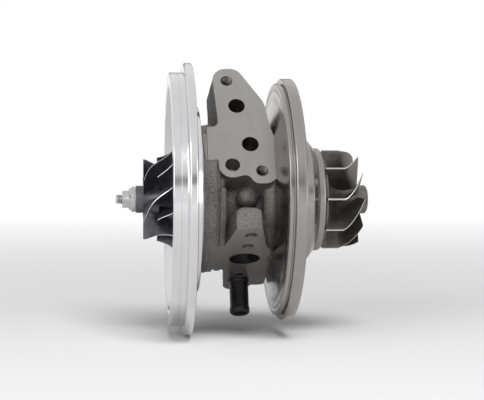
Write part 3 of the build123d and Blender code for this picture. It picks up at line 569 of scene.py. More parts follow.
# An outline is a line of (station, radius, rounding) points in millimetres
DISC_OUTLINE = (
    (-8.75, 46.0, 0),
    (-8.75, 51.25, 0),
    (DISC_BACK, 53.5, 0.15),
    (DISC_BACK, 55.4, 0.1),
    (-8.15, 55.7, 0.05),
    (-8.15, 56.1, 0.05),
    (DISC_BACK, 56.4, 0.1),
    (DISC_BACK, 58.7, 0.1),
    (-7.9, 59.2, 0.15),
    (-6.5, 59.2, 0.15),
    (-6.5, 58.3, 0.1),
    (DISC_FRONT, 58.3, 0.1),
    (DISC_FRONT, 61.0, 0.15),
    (-5.0, DISC_RADIUS, 0.2),
    (-0.6, DISC_RADIUS, 0.2),
    (0.0, 61.0, 0.15),
    (0.0, 31.9, 0.1),
    (-0.4, 31.6, 0.1),
    (-0.4, PILOT_RADIUS, 0.1),
    (2.6, PILOT_RADIUS, 0.05),
    (2.75, 30.85, 0.05),
    (3.0, 30.85, 0.05),
    (3.15, PILOT_RADIUS, 0.05),
    (7.8, PILOT_RADIUS, 0.1),
    (PILOT_END, 30.6, 0.1),
    (NOSE_SHOULDER, 26.8, 0.25),
    (NOSE_SHOULDER, 25.3, 0.05),
    (13.6, 25.3, 0.05),
    (NOSE_END, 24.7, 0.1),
    (NOSE_END, 22.3, 0.1),
    (12.7, 20.7, 0.3),
    (12.7, 7.5, 0.1),
    (5.6, 7.5, 0.1),
    (5.6, 10.0, 0.1),
    (-8.75, 10.0, 0),
    (-8.75, 46.0, 0),
)


class CARTRIDGE_OT_turbine_disc(bpy.types.Operator):
    """Turned turbine end of the housing: disc, lip, rim, pilot and nose"""

    bl_idname = "cartridge.turbine_disc"
    bl_label = "Turbine-end disc"

    def execute(self, context):
        disc = turned(DISC_OUTLINE)
        finished(disc, "turbine_end_disc", ["turned_iron"], "housing", ["bearing_housing"])
        return {"FINISHED"}


PLATE_OUTLINE = (
    (PLATE_POCKET, 5.7, 0.1),
    (PLATE_POCKET, 29.6, 0.3),
    (-55.9, 29.6, 0.2),
    (-55.9, 54.0, 2.6),
    (SPIGOT_FRONT, 57.6, 0.3),
    (SPIGOT_FRONT, 63.7, 0.15),
    (-61.7, SPIGOT_RADIUS, 0.15),
    (-58.4, SPIGOT_RADIUS, 0.05),
    (-58.4, 63.75, 0.05),
    (-58.05, 63.75, 0.05),
    (-58.05, SPIGOT_RADIUS, 0.05),
    (PLATE_FRONT, SPIGOT_RADIUS, 0.3),
    (PLATE_FRONT, 68.0, 0.3),
    (-54.3, PLATE_RADIUS, 0.3),
    (PLATE_REAR, PLATE_RADIUS, 0.9),
    (PLATE_REAR, 47.9, 0.4),
    (PLATE_BACK, 46.9, 0.3),
    (PLATE_BACK, 36.5, 0.1),
    (DRUM_FACE, 36.5, 0.1),
    (DRUM_FACE, 32.3, 0),
    (-47.8, 32.3, 0),
    (-47.8, 30.2, 0),
    (DRUM_FACE, 30.2, 0),
    (DRUM_FACE, 9.0, 0.1),
    (-47.3, 9.0, 0),
    (-47.3, 5.7, 0),
    (PLATE_POCKET, 5.7, 0.1),
)
PLATE_SCREWS = 4
PLATE_SCREW_CIRCLE = 24.0
PLATE_SCREW_ANGLE = math.radians(-19.0)
PLATE_SCREW_HEAD = 4.8
PLATE_SCREW_BODY = 2.55


def bored_out(piece, cutter):
    """Takes the cutter's volume out of a piece and drops the cutter."""
    tool = bpy.data.meshes.new("cutter")
    cutter.to_mesh(tool)
    cutter.free()
    drill = bpy.data.objects.new("cutter", tool)
    bpy.context.scene.collection.objects.link(drill)
    modifier = piece.modifiers.new("holes", "BOOLEAN")
    modifier.operation = "DIFFERENCE"
    modifier.solver = "EXACT"
    modifier.object = drill
    bpy.context.view_layer.update()
    cut = bpy.data.meshes.new_from_object(piece.evaluated_get(bpy.context.evaluated_depsgraph_get()))
    piece.modifiers.remove(modifier)
    piece.data = cut
    bpy.data.objects.remove(drill)
    if len(cut.polygons) < FEWEST_CUT_FACES:
        raise RuntimeError(f"the holes of {piece.name} failed")


class CARTRIDGE_OT_backplate(bpy.types.Operator):
    """Turned aluminium backplate with its countersunk screw holes"""

    bl_idname = "cartridge.backplate"
    bl_label = "Compressor backplate"

    def execute(self, context):
        piece = finished(
            turned(PLATE_OUTLINE),
            "backplate_turned",
            ["turned_aluminium"],
            "housing",
            ["compressor_backplate"],
        )
        sink = (
            (PLATE_POCKET - 0.5, 0, 0),
            (PLATE_POCKET - 0.5, PLATE_SCREW_HEAD + 0.65, 0),
            (PLATE_POCKET + PLATE_SCREW_HEAD - PLATE_SCREW_BODY, PLATE_SCREW_BODY + 0.05, 0),
            (DRUM_FACE + 0.2, PLATE_SCREW_BODY + 0.05, 0),
            (DRUM_FACE + 0.2, 0, 0),
        )
        holes = []
        for count in range(PLATE_SCREWS):
            angle = PLATE_SCREW_ANGLE + FULL_TURN * count / PLATE_SCREWS
            y = -PLATE_SCREW_CIRCLE * math.cos(angle)
            z = PLATE_SCREW_CIRCLE * math.sin(angle)
            hole = turned(sink, steps=40)
            bmesh.ops.translate(hole, verts=hole.verts, vec=(0, y * MM, z * MM))
            holes.append(hole)
        bored_out(piece, joined(*holes))
        return {"FINISHED"}


# Compressor and turbine wheels

BLADE_PAIRS = 6
BLADE_CROWDING = 1.4
TURBINE_BLADES = 10
TURBINE_BLADE_GAP = 0.1
TURBINE_EDGE_SHARE = 1.4
FILLET_SHARE = 0.12
WHEEL_STEPS = 168

# How the blades turn round the shaft, in degrees: the compressor's most just behind their inlet
BLADE_START_TURN = 35
BLADE_INLET_TURN = 34
BLADE_INLET_SWEEP = 12
BLADE_TURN_RATE = 0.25
SPLITTER_START = 25.0
TURBINE_EXIT_TURN = -36
TURBINE_TURN_CURVE = 1.7


def blade_place(hub, shroud, turn_degrees, up, side, thick, bury=0.5):
    """A point on a blade between its hub and shroud points, each (station, radius)."""
    turn_by = math.radians(turn_degrees)
    outward = Vector((0, -math.cos(turn_by), -math.sin(turn_by)))
    across = Vector((0, math.sin(turn_by), -math.cos(turn_by)))
    foot = Vector((hub[0], 0, 0)) + outward * hub[1]
    rise = Vector((shroud[0], 0, 0)) + outward * shroud[1] - foot
    start = foot - rise.normalized() * bury
    return (start + (rise + rise.normalized() * bury) * up + across * side * thick / 2) * MM


def blade_thickness(up, root, tip, fillet):
    """Thickness at a share of the height, with a fillet at the foot."""
    return tip + (root - tip) * (1 - up) + fillet * max(0.0, 1 - up / FILLET_SHARE) ** 2


def compressor_blade(sweep_start):
    """The section function of a compressor blade that starts this many degrees along the hub's curve."""

    def section(along, up, side):
        crowding = BLADE_CROWDING if sweep_start == 0 else 1
        sweep = sweep_start + (90 - sweep_start) * along**crowding
        rise = 1 - math.cos(math.radians(sweep))
        run = math.sin(math.radians(sweep))
        hub_run = WHEEL_HUB_END - WHEEL_INLET
        shroud_run = WHEEL_SHROUD_END - WHEEL_INLET
        hub = (WHEEL_INLET + hub_run * run, WHEEL_HUB_RADIUS + (WHEEL_RADIUS - WHEEL_HUB_RADIUS) * rise)
        shroud = (
            WHEEL_INLET + shroud_run * run,
            WHEEL_INLET_RADIUS + (WHEEL_RADIUS - WHEEL_INLET_RADIUS) * rise,
        )
        inlet_turn = BLADE_INLET_TURN * (1 - math.exp(-sweep / BLADE_INLET_SWEEP))
        turn = BLADE_START_TURN - inlet_turn - BLADE_TURN_RATE * sweep
        thick = blade_thickness(up, root=1.5, tip=0.55, fillet=0.9)
        return blade_place(hub, shroud, turn, up, side, thick)

    return section


def turbine_hub_radius(x):
    """The turbine hub's radius at a station."""
    reach = 1 - (x - TURBINE_DISC_FACE) / (TURBINE_EXIT - TURBINE_DISC_FACE)
    fall = TURBINE_DISC_RADIUS - TURBINE_NOSE_RADIUS
    return TURBINE_DISC_RADIUS if reach >= 1 else TURBINE_DISC_RADIUS - fall * math.sqrt(1 - reach**2)


def turbine_blade(along, up, side):
    """A turbine blade's point at a share of its length and height, on the side -1 or 1."""
    start = TURBINE_BACK + TURBINE_BLADE_GAP
    x = start + (TURBINE_EXIT - start) * along
    past = max(0.0, (x - TURBINE_TIP_END) / (TURBINE_EXIT - TURBINE_TIP_END))
    turn = TURBINE_EXIT_TURN * past**TURBINE_TURN_CURVE
    shroud = TURBINE_RADIUS - (TURBINE_RADIUS - TURBINE_EXIT_RADIUS) * past
    thick = blade_thickness(up, root=2.0, tip=0.9, fillet=0.8)
    return blade_place((x, turbine_hub_radius(x)), (x, shroud), turn, up, side, thick)


class CARTRIDGE_OT_compressor_wheel(bpy.types.Operator):
    """Compressor wheel: hub, full blades and splitter blades"""

    bl_idname = "cartridge.compressor_wheel"
    bl_label = "Compressor wheel"

    def execute(self, context):
        sizes = context.scene.cartridge_sizes
        reach, rise = WHEEL_HUB_END - WHEEL_INLET, WHEEL_RADIUS - WHEEL_HUB_RADIUS
        hub = (
            (WHEEL_NOSE, WHEEL_BORE_RADIUS, 0),
            (WHEEL_NOSE, WHEEL_HUB_RADIUS, 0.35),
            *quarter_ellipse(WHEEL_INLET, WHEEL_HUB_RADIUS, reach, rise),
            (WHEEL_BACK, WHEEL_RADIUS, 0.15),
            (WHEEL_BACK, WHEEL_BOSS_RADIUS, 0.2),
            (WHEEL_BOSS_END, WHEEL_BOSS_RADIUS, 0.1),
            (WHEEL_BOSS_END, WHEEL_BORE_RADIUS, 0),
            (WHEEL_NOSE, WHEEL_BORE_RADIUS, 0),
        )
        parts = [turned(hub, WHEEL_STEPS)]
        splitter_turn = FULL_TURN / BLADE_PAIRS / 2
        for sweep, along, first_turn in ((0.0, 26, 0.0), (SPLITTER_START, 20, splitter_turn)):
            blade = bent_blade(along, 9, compressor_blade(sweep))
            parts.append(ring_of(blade, BLADE_PAIRS, sizes.blade_edge, first_turn))
        # The rims take the bright edge metal: machined edge with a painted highlight
        metals = ("wheel_aluminium", "wheel_edge")
        finished(joined(*parts), "compressor_wheel_bladed", metals, "rotor", ["compressor_wheel"])
        return {"FINISHED"}


class CARTRIDGE_OT_turbine_wheel(bpy.types.Operator):
    """Turbine wheel: hub, back disc, nose and blades"""

    bl_idname = "cartridge.turbine_wheel"
    bl_label = "Turbine wheel"

    def execute(self, context):
        sizes = context.scene.cartridge_sizes
        reach = TURBINE_EXIT - TURBINE_DISC_FACE
        line = quarter_ellipse(0, 0, reach, TURBINE_DISC_RADIUS - TURBINE_NOSE_RADIUS)
        hub = (
            (WELD, 0, 0),
            (WELD, SEAL_RADIUS, 0.1),
            (TURBINE_BACK, SEAL_RADIUS, 0.3),
            (TURBINE_BACK, TURBINE_DISC_RADIUS, 0.2),
            *((TURBINE_EXIT - x, TURBINE_NOSE_RADIUS + radius, 0) for x, radius, _ in reversed(line)),
            (39.2, TURBINE_NOSE_RADIUS, 0.2),
            (TURBINE_NOSE_END, 6.4, 0.4),
            (TURBINE_NOSE_END, 3.4, 0.3),
            (38.9, 2.0, 0.3),
            (38.9, 0, 0),
        )
        blade = bent_blade(30, 9, turbine_blade)
        blades = ring_of(blade, TURBINE_BLADES, sizes.blade_edge * TURBINE_EDGE_SHARE)
        wheel = joined(turned(hub, WHEEL_STEPS), blades)
        # The rims take the bright edge metal: ground edge with a painted highlight
        metals = ("nickel_alloy", "nickel_edge")
        finished(wheel, "turbine_wheel_bladed", metals, "rotor", ["turbine_wheel"])
        return {"FINISHED"}


# Shaft, nut, heat shield, nipple, orifice and threads

# Threads: facets in a turn, then lengths and radii in millimetres, a height below zero pointing inwards
THREAD_STEPS = 36
THREAD_ROOT = 0.15
STUD_THREAD = 10.0
STUD_THREAD_HEIGHT = 0.36
SCREW_HOLE_RADIUS = 2.5
SCREW_THREAD_HEIGHT = -0.38
SCREW_THREAD_START = 1.4
SCREW_THREAD_END = 1.0

# The nut's mesh: the angles under which faces are joined and over which an edge is rounded
NUT_LEVEL = math.radians(0.6)
NUT_CORNER = math.radians(25)
NUT_ROUNDING = 0.14


def screw_ridge(radius, height, pitch, start, turns):
    """A bmesh of one helical ridge about the shaft."""
    bm = bmesh.new()
    root = radius - math.copysign(THREAD_ROOT, height)
    corners = ((0.06, root), (0.12, radius), (0.5, radius + height), (0.88, radius), (0.94, root))
    verts = [bm.verts.new((start * MM + share * pitch, 0, r * MM)) for share, r in corners]
    for first, second in zip(verts, verts[1:] + verts[:1]):
        bm.edges.new((first, second))
    swept(bm, FULL_TURN * turns, int(THREAD_STEPS * turns), travel=pitch / THREAD_STEPS)
    bmesh.ops.holes_fill(bm, edges=bm.edges, sides=0)
    bmesh.ops.recalc_face_normals(bm, faces=bm.faces)
    return bm


def onto_flange(bm, normal, distance, x, across):
    """Moves a piece turned about the shaft so that it stands along a flange's direction."""
    basis = Matrix((normal, SHAFT, across_flange(normal))).transposed()
    bmesh.ops.rotate(bm, verts=bm.verts, cent=(0, 0, 0), matrix=basis)
    bmesh.ops.translate(bm, verts=bm.verts, vec=flange_point(normal, distance, x, across))


SHAFT_OUTLINE = (
    (STUD_TIP, 0, 0),
    (STUD_TIP, 1.7, 0.1),
    (STUD_TIP + 0.45, STUD_RADIUS, 0.1),
    (-77.4, STUD_RADIUS, 0),
    (-77.4, 2.75, 0),
    (-39.9, 2.75, 0),
    (-39.9, JOURNAL_RADIUS, 0.1),
    (-27.1, JOURNAL_RADIUS, 0.1),
    (-26.8, 3.7, 0.1),
    (-10.7, 3.7, 0.1),
    (-10.4, JOURNAL_RADIUS, 0.1),
    (5.9, JOURNAL_RADIUS, 0.1),
    (5.9, SEAL_RADIUS, 0.1),
    (7.85, SEAL_RADIUS, 0),
    (7.85, 5.9, 0),
    (9.35, 5.9, 0),
    (9.35, SEAL_RADIUS, 0),
    (WELD, SEAL_RADIUS, 0),
    (WELD, 0, 0),
)


class CARTRIDGE_OT_shaft(bpy.types.Operator):
    """Shaft with its seats, shoulders and threaded stud end"""

    bl_idname = "cartridge.shaft"
    bl_label = "Shaft"

    def execute(self, context):
        sizes = context.scene.cartridge_sizes
        core = turned(SHAFT_OUTLINE, steps=72)
        turns = STUD_THREAD * MM / sizes.stud_pitch
        ridge = screw_ridge(STUD_RADIUS, STUD_THREAD_HEIGHT, sizes.stud_pitch, STUD_TIP + 0.5, turns)
        finished(joined(core, ridge), "shaft_threaded", ["bright_steel"], "rotor", ["rotor_shaft"])
        return {"FINISHED"}


class CARTRIDGE_OT_nut(bpy.types.Operator):
    """Flanged hexagon nut with a locking collar"""

    bl_idname = "cartridge.nut"
    bl_label = "Shaft nut"

    def execute(self, context):
        bm = merged_copy("shaft_nut")
        bmesh.ops.dissolve_limit(
            bm,
            angle_limit=NUT_LEVEL,
            verts=bm.verts,
            edges=bm.edges,
            use_dissolve_boundaries=False,
        )
        sharp = [edge for edge in bm.edges if edge.is_manifold and edge.calc_face_angle(0) > NUT_CORNER]
        bevelled(bm, sharp, NUT_ROUNDING * MM, 2, "EDGES")
        bmesh.ops.triangulate(bm, faces=bm.faces)
        bmesh.ops.recalc_face_normals(bm, faces=bm.faces)
        finished(bm, "nut_flanged", ["bright_steel"], "rotor", ["shaft_nut"])
        return {"FINISHED"}


SHIELD_OUTLINE = (
    (SHIELD_START, 25.5, 0.1),
    (SHIELD_START, 26.3, 0.15),
    (SHIELD_FACE, 26.3, 1.2),
    (SHIELD_FACE, 16.0, 0.2),
    (14.75, 15.6, 0.2),
    (14.75, 9.0, 0.3),
    (SHIELD_FACE, 8.0, 0.1),
    (NOSE_END, 8.0, 0.1),
    (NOSE_END, 25.5, 0.4),
    (SHIELD_START, 25.5, 0.1),
)


class CARTRIDGE_OT_heat_shield(bpy.types.Operator):
    """Pressed heat shield over the housing's nose"""

    bl_idname = "cartridge.heat_shield"
    bl_label = "Heat shield"

    def execute(self, context):
        cup = turned(SHIELD_OUTLINE, segments=4)
        finished(cup, "heat_shield_pressed", ["shield_steel"], "housing", ["heat_shield"])
        return {"FINISHED"}


NIPPLE_OUTLINE = (
    (-NIPPLE_SEAT_DEPTH, 3.6, 0.1),
    (18.2, 3.6, 0.2),
    (18.5, 4.0, 0.1),
    (18.5, 4.45, 0.2),
    (17.5, 5.25, 0.3),
    (15.4, 5.25, 0.2),
    (14.9, 4.95, 0.3),
    (1.6, 4.95, 0.3),
    (1.2, 5.25, 0.2),
    (0.0, 5.25, 0.2),
    (0.0, NIPPLE_SEAT_RADIUS, 0.05),
    (-NIPPLE_SEAT_DEPTH, NIPPLE_SEAT_RADIUS, 0.2),
    (-NIPPLE_SEAT_DEPTH, 3.6, 0.1),
)


class CARTRIDGE_OT_nipple(bpy.types.Operator):
    """Black coolant nipple pressed into the drain flange"""

    bl_idname = "cartridge.nipple"
    bl_label = "Coolant nipple"

    def execute(self, context):
        tube = turned(NIPPLE_OUTLINE, steps=96)
        onto_flange(tube, DRAIN_NORMAL, DRAIN_DISTANCE, NIPPLE_X, NIPPLE_OFFSET)
        finished(tube, "nipple_tube", ["black_steel"], "housing", ["coolant_nipple"])
        return {"FINISHED"}


class CARTRIDGE_OT_orifice(bpy.types.Operator):
    """Bright rounded insert at the bottom of the oil inlet"""

    bl_idname = "cartridge.orifice"
    bl_label = "Oil inlet orifice"

    def execute(self, context):
        crown = [math.radians(angle) for angle in range(22, 91, 8)]
        dome = [(2.3 + 1.62 * math.cos(angle), 2.85 * math.sin(angle), 0) for angle in crown]
        insert = turned(
            ((0.0, 0.7, 0), (3.8, 0.7, 0.1), *dome, (0.3, 2.88, 0), (0.0, 2.6, 0), (0.0, 0.7, 0)),
            steps=72,
        )
        onto_flange(insert, INLET_NORMAL, INLET_DISTANCE - ORIFICE_FOOT, ORIFICE_X, 0.0)
        finished(insert, "orifice_insert", ["satin_steel"], "housing", ["oil_inlet_orifice"])
        return {"FINISHED"}


class CARTRIDGE_OT_port_threads(bpy.types.Operator):
    """Threads in the four screw holes of the flanges"""

    bl_idname = "cartridge.port_threads"
    bl_label = "Port threads"

    def execute(self, context):
        pitch = context.scene.cartridge_sizes.screw_pitch
        threads = []
        for normal, distance, holes in THREADED_HOLES:
            for x, across, _, depth in holes:
                turns = round((depth - SCREW_THREAD_START - SCREW_THREAD_END) * MM / pitch)
                start = SCREW_THREAD_START - depth
                ridge = screw_ridge(SCREW_HOLE_RADIUS, SCREW_THREAD_HEIGHT, pitch, start, turns)
                onto_flange(ridge, normal, distance, x, across)
                threads.append(ridge)
        # The threads take the bored metal, painted darker as shade in the holes
        finished(joined(*threads), "port_threads", ["bored_iron"], "housing")
        return {"FINISHED"}


INNER_FINISHES = {
    "backplate_screws": "bright_steel",
    "thrust_bearing_pins": "bright_steel",
    "thrust_collar": "bright_steel",
    "oil_flinger": "bright_steel",
    "bearing_retaining_rings": "bright_steel",
    "piston_ring_compressor_end": "bright_steel",
    "piston_ring_turbine_end": "bright_steel",
    "journal_bearing_compressor_end": "bronze",
    "journal_bearing_turbine_end": "bronze",
    "thrust_bearing": "bronze",
    "oil_baffle": "shield_steel",
    "backplate_seal_ring": "rubber",
}


class CARTRIDGE_OT_inner_pieces(bpy.types.Operator):
    """Finishes the bushes, rings, screws and other pieces that keep their machined shape"""

    bl_idname = "cartridge.inner_pieces"
    bl_label = "Bearings and seals"

    def execute(self, context):
        for piece, finish in INNER_FINISHES.items():
            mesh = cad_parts[piece].data
            mesh.materials.clear()
            mesh.materials.append(metal(finish))
        return {"FINISHED"}


# Effects that the metals share


def node(tree, kind, values=None, **settings):
    """A node with its settings, and its inputs set or linked."""
    made = tree.nodes.new(kind)
    for name, value in settings.items():
        setattr(made, name, value)
    for name, value in (values or {}).items():
        socket = made.inputs[name]
        if isinstance(value, bpy.types.NodeSocket):
            tree.links.new(value, socket)
        else:
            socket.default_value = value
    return made


def math_node(tree, operation, first, second=0.0):
    """The result of a sum on sockets or numbers."""
    return node(tree, "ShaderNodeMath", {0: first, 1: second}, operation=operation).outputs[0]


def times(tree, first, second):
    """The product of two sockets or numbers."""
    return math_node(tree, "MULTIPLY", first, second)


def mixed(tree, factor, first, second):
    """The mix of two colours."""
    values = {0: factor, 6: first, 7: second}
    return node(tree, "ShaderNodeMix", values, data_type="RGBA").outputs[2]


def ramped(tree, value, low, high, out_low=0.0, out_high=1.0):
    """The value taken from one range into another, clamped."""
    values = {"Value": value, 1: low, 2: high, 3: out_low, 4: out_high}
    return node(tree, "ShaderNodeMapRange", values).outputs[0]


def noise_at(tree, place, scale, detail, roughness=0.5, distortion=0.0):
    """Noise over a position."""
    values = {"Vector": place, "Scale": scale, "Detail": detail, "Roughness": roughness}
    return node(tree, "ShaderNodeTexNoise", {**values, "Distortion": distortion}).outputs[0]


def noise_along(tree, travel, scale, roughness):
    """Noise over a distance."""
    values = {"W": travel, "Scale": scale, "Detail": 2.0, "Roughness": roughness}
    return node(tree, "ShaderNodeTexNoise", values, noise_dimensions="1D").outputs[0]


def bump(tree, height, distance):
    """A bump from a height, distance in metres."""
    return node(tree, "ShaderNodeBump", {"Height": height, "Distance": distance}).outputs[0]


def seen_directly(tree):
    """1 where the camera looks, also by way of a mirror or glass, and 0 for light on its way."""
    path = node(tree, "ShaderNodeLightPath")
    either = math_node(tree, "MAXIMUM", path.outputs["Is Camera Ray"], path.outputs["Is Glossy Ray"])
    return math_node(tree, "MAXIMUM", either, path.outputs["Is Transmission Ray"])


def effect_group(name, scale_inputs):
    """An empty node group with a position and named scales as inputs, and its input sockets."""
    group = bpy.data.node_groups.new(name, "ShaderNodeTree")
    group.interface.new_socket("Position", in_out="INPUT", socket_type="NodeSocketVector")
    for socket_name, default in scale_inputs.items():
        socket = group.interface.new_socket(socket_name, in_out="INPUT", socket_type="NodeSocketFloat")
        socket.default_value = default
    return group, group.nodes.new("NodeGroupInput").outputs


def give_out(group, **values):
    """Puts values out of a group under these names."""
    for name in values:
        group.interface.new_socket(name, in_out="OUTPUT", socket_type="NodeSocketFloat")
    result = group.nodes.new("NodeGroupOutput")
    for name, value in values.items():
        group.links.new(value, result.inputs[name])
    return group


def built_once(build):
    """Keeps the group that a function builds, so that every metal shares it."""

    def once():
        return bpy.data.node_groups.get(build.__name__) or build(build.__name__)

    return once


@built_once
def turned_lines(name):
    """Fine tool lines round the X axis of the position it is given."""
    group, given = effect_group(name, {"Lines per metre": 2600.0, "Bands per metre": 320.0})
    split = node(group, "ShaderNodeSeparateXYZ", {0: given["Position"]})
    squares = [times(group, split.outputs[axis], split.outputs[axis]) for axis in (1, 2)]
    radius = math_node(group, "SQRT", math_node(group, "ADD", *squares))
    travel = math_node(group, "ADD", radius, split.outputs[0])
    fine = noise_along(group, travel, given["Lines per metre"], 0.6)
    broad = noise_along(group, travel, given["Bands per metre"], 0.55)
    sheen = math_node(group, "ADD", times(group, fine, 0.45), times(group, broad, 0.55))
    return give_out(group, Height=fine, Sheen=sheen)


@built_once
def cast_grain(name):
    """The sandy skin of a casting."""
    group, given = effect_group(name, {"Grains per metre": 1900.0})
    place, grains = given[0], given[1]
    fine = noise_at(group, place, grains, 3.0, 0.65)
    coarse = noise_at(group, place, times(group, grains, 0.33), 3.0)
    pits = node(group, "ShaderNodeTexVoronoi", {"Vector": place, "Scale": times(group, grains, 0.6)})
    pit = ramped(group, pits.outputs["Distance"], 0.0, 0.35)
    sand = math_node(group, "ADD", times(group, fine, 0.5), times(group, coarse, 0.9))
    height = math_node(group, "ADD", sand, times(group, pit, 0.25))
    patches = noise_at(group, place, times(group, grains, 0.05), 4.0)
    speckle = ramped(group, fine, 0.42, 0.68)
    return give_out(group, Height=height, Speckle=speckle, Patches=ramped(group, patches, 0.35, 0.65))


@built_once
def handling_marks(name):
    """Thin scratches and dull smears."""
    group, given = effect_group(name, {"Smears per metre": 60.0})
    smears = noise_at(group, given[0], given[1], 5.0, 0.6, 0.6)
    stretch = {"Vector": given[0], "Scale": (900.0, 70.0, 1100.0), "Rotation": (0.4, 0.9, 0.3)}
    scratches = noise_at(group, node(group, "ShaderNodeMapping", stretch).outputs[0], 1.0, 2.0)
    return give_out(
        group,
        Smears=ramped(group, smears, 0.35, 0.7),
        Scratches=ramped(group, scratches, 0.66, 0.74),
    )


def effect(tree, group, place, **scales):
    """The outputs of an effect group placed in a metal; a scale's name has underscores for spaces."""
    values = {name.replace("_", " "): value for name, value in scales.items()}
    return node(tree, "ShaderNodeGroup", {"Position": place, **values}, node_tree=group).outputs


# Metals


def new_metal(name, metallic, **uniform):
    """A metal, its node tree, its shader and the position on the piece."""
    material = bpy.data.materials.new(name)
    material.use_nodes = True
    tree = material.node_tree
    shader = tree.nodes["Principled BSDF"]
    shader.inputs["Metallic"].default_value = metallic
    for socket, value in uniform.items():
        shader.inputs[socket.replace("_", " ")].default_value = value
    return material, tree, shader, node(tree, "ShaderNodeTexCoord").outputs["Object"]


def dressed(tree, shader, tone, roughness, normal):
    """Links a metal's colour, roughness and normal."""
    tree.links.new(tone, shader.inputs["Base Color"])
    tree.links.new(roughness, shader.inputs["Roughness"])
    tree.links.new(normal, shader.inputs["Normal"])


def scaled(value, share):
    """A colour made lighter or darker."""
    return tuple(min(1.0, channel * share) for channel in value[:3]) + (1.0,)


def rough_casting(name, base):
    """Rough dark casting with a speckled skin."""
    material, tree, shader, place = new_metal(name, 0.55)
    grain = effect(tree, cast_grain(), place)
    tone = mixed(tree, grain["Patches"], scaled(base, 0.75), scaled(base, 1.25))
    tone = mixed(tree, times(tree, grain["Speckle"], 0.55), tone, scaled(base, 3.0))
    rough = ramped(tree, grain["Speckle"], 0, 1, 0.62, 0.38)
    dressed(tree, shader, tone, rough, bump(tree, grain["Height"], 0.00032))
    return material


def machined(name, base, roughness, lines, metallic=1.0, depth=0.00001, share=1.0, spread=0.12, arcs=None):
    """A machined metal with tool lines round its axis or in arcs, smears and fine scratches."""
    base = scaled(base, share)
    material, tree, shader, place = new_metal(name, metallic)
    centred = node(tree, "ShaderNodeMapping", {"Vector": place, **arcs}).outputs[0] if arcs else place
    tool = effect(tree, turned_lines(), centred, Lines_per_metre=lines)
    marks = effect(tree, handling_marks(), place)
    tone = mixed(tree, tool["Sheen"], scaled(base, 1 - spread), scaled(base, 1 + spread))
    tone = mixed(tree, times(tree, marks["Smears"], 0.25), tone, scaled(base, 0.8))
    rough = ramped(tree, tool["Sheen"], 0.3, 0.7, roughness - 0.05, roughness + 0.06)
    rough = math_node(tree, "ADD", rough, times(tree, marks["Smears"], 0.08))
    relief = math_node(tree, "SUBTRACT", tool["Height"], times(tree, marks["Scratches"], 0.5))
    dressed(tree, shader, tone, rough, bump(tree, relief, depth))
    return material


def fine_casting(name, base, roughness, grains, depth):
    """The fine skin of an investment casting."""
    material, tree, shader, place = new_metal(name, 0.85)
    grain = effect(tree, cast_grain(), place, Grains_per_metre=grains)
    tone = mixed(tree, grain["Patches"], scaled(base, 0.8), scaled(base, 1.2))
    rough = ramped(tree, grain["Patches"], 0, 1, roughness, roughness + 0.12)
    dressed(tree, shader, tone, rough, bump(tree, grain["Height"], depth))
    return material


def black_coating(name, base):
    """Black coated steel with dull smears."""
    material, tree, shader, place = new_metal(name, 0.0, Specular_IOR_Level=0.5)
    smears = effect(tree, handling_marks(), place, Smears_per_metre=180.0)["Smears"]
    grain = effect(tree, cast_grain(), place, Grains_per_metre=3200.0)
    tone = mixed(tree, times(tree, smears, 0.6), base, scaled(base, 2.4))
    rough = ramped(tree, smears, 0, 1, 0.28, 0.46)
    dressed(tree, shader, tone, rough, bump(tree, grain["Height"], 0.00004))
    return material


def moulded_rubber(name, base):
    """Moulded black rubber."""
    material, tree, shader, place = new_metal(name, 0.0, Specular_IOR_Level=0.3)
    grain = effect(tree, cast_grain(), place, Grains_per_metre=5200.0)
    tone = mixed(tree, grain["Patches"], base, scaled(base, 1.8))
    rough = ramped(tree, grain["Patches"], 0, 1, 0.55, 0.7)
    dressed(tree, shader, tone, rough, bump(tree, grain["Height"], 0.00003))
    return material


# Where the milled faces' wide arcs are centred: square to the inlet flange, 90 mm beyond the shaft
MILLED_ARCS = {"Location": (0.0, 0.0, 0.09), "Rotation": (INLET_TILT - math.pi / 2, 0.0, 0.0)}

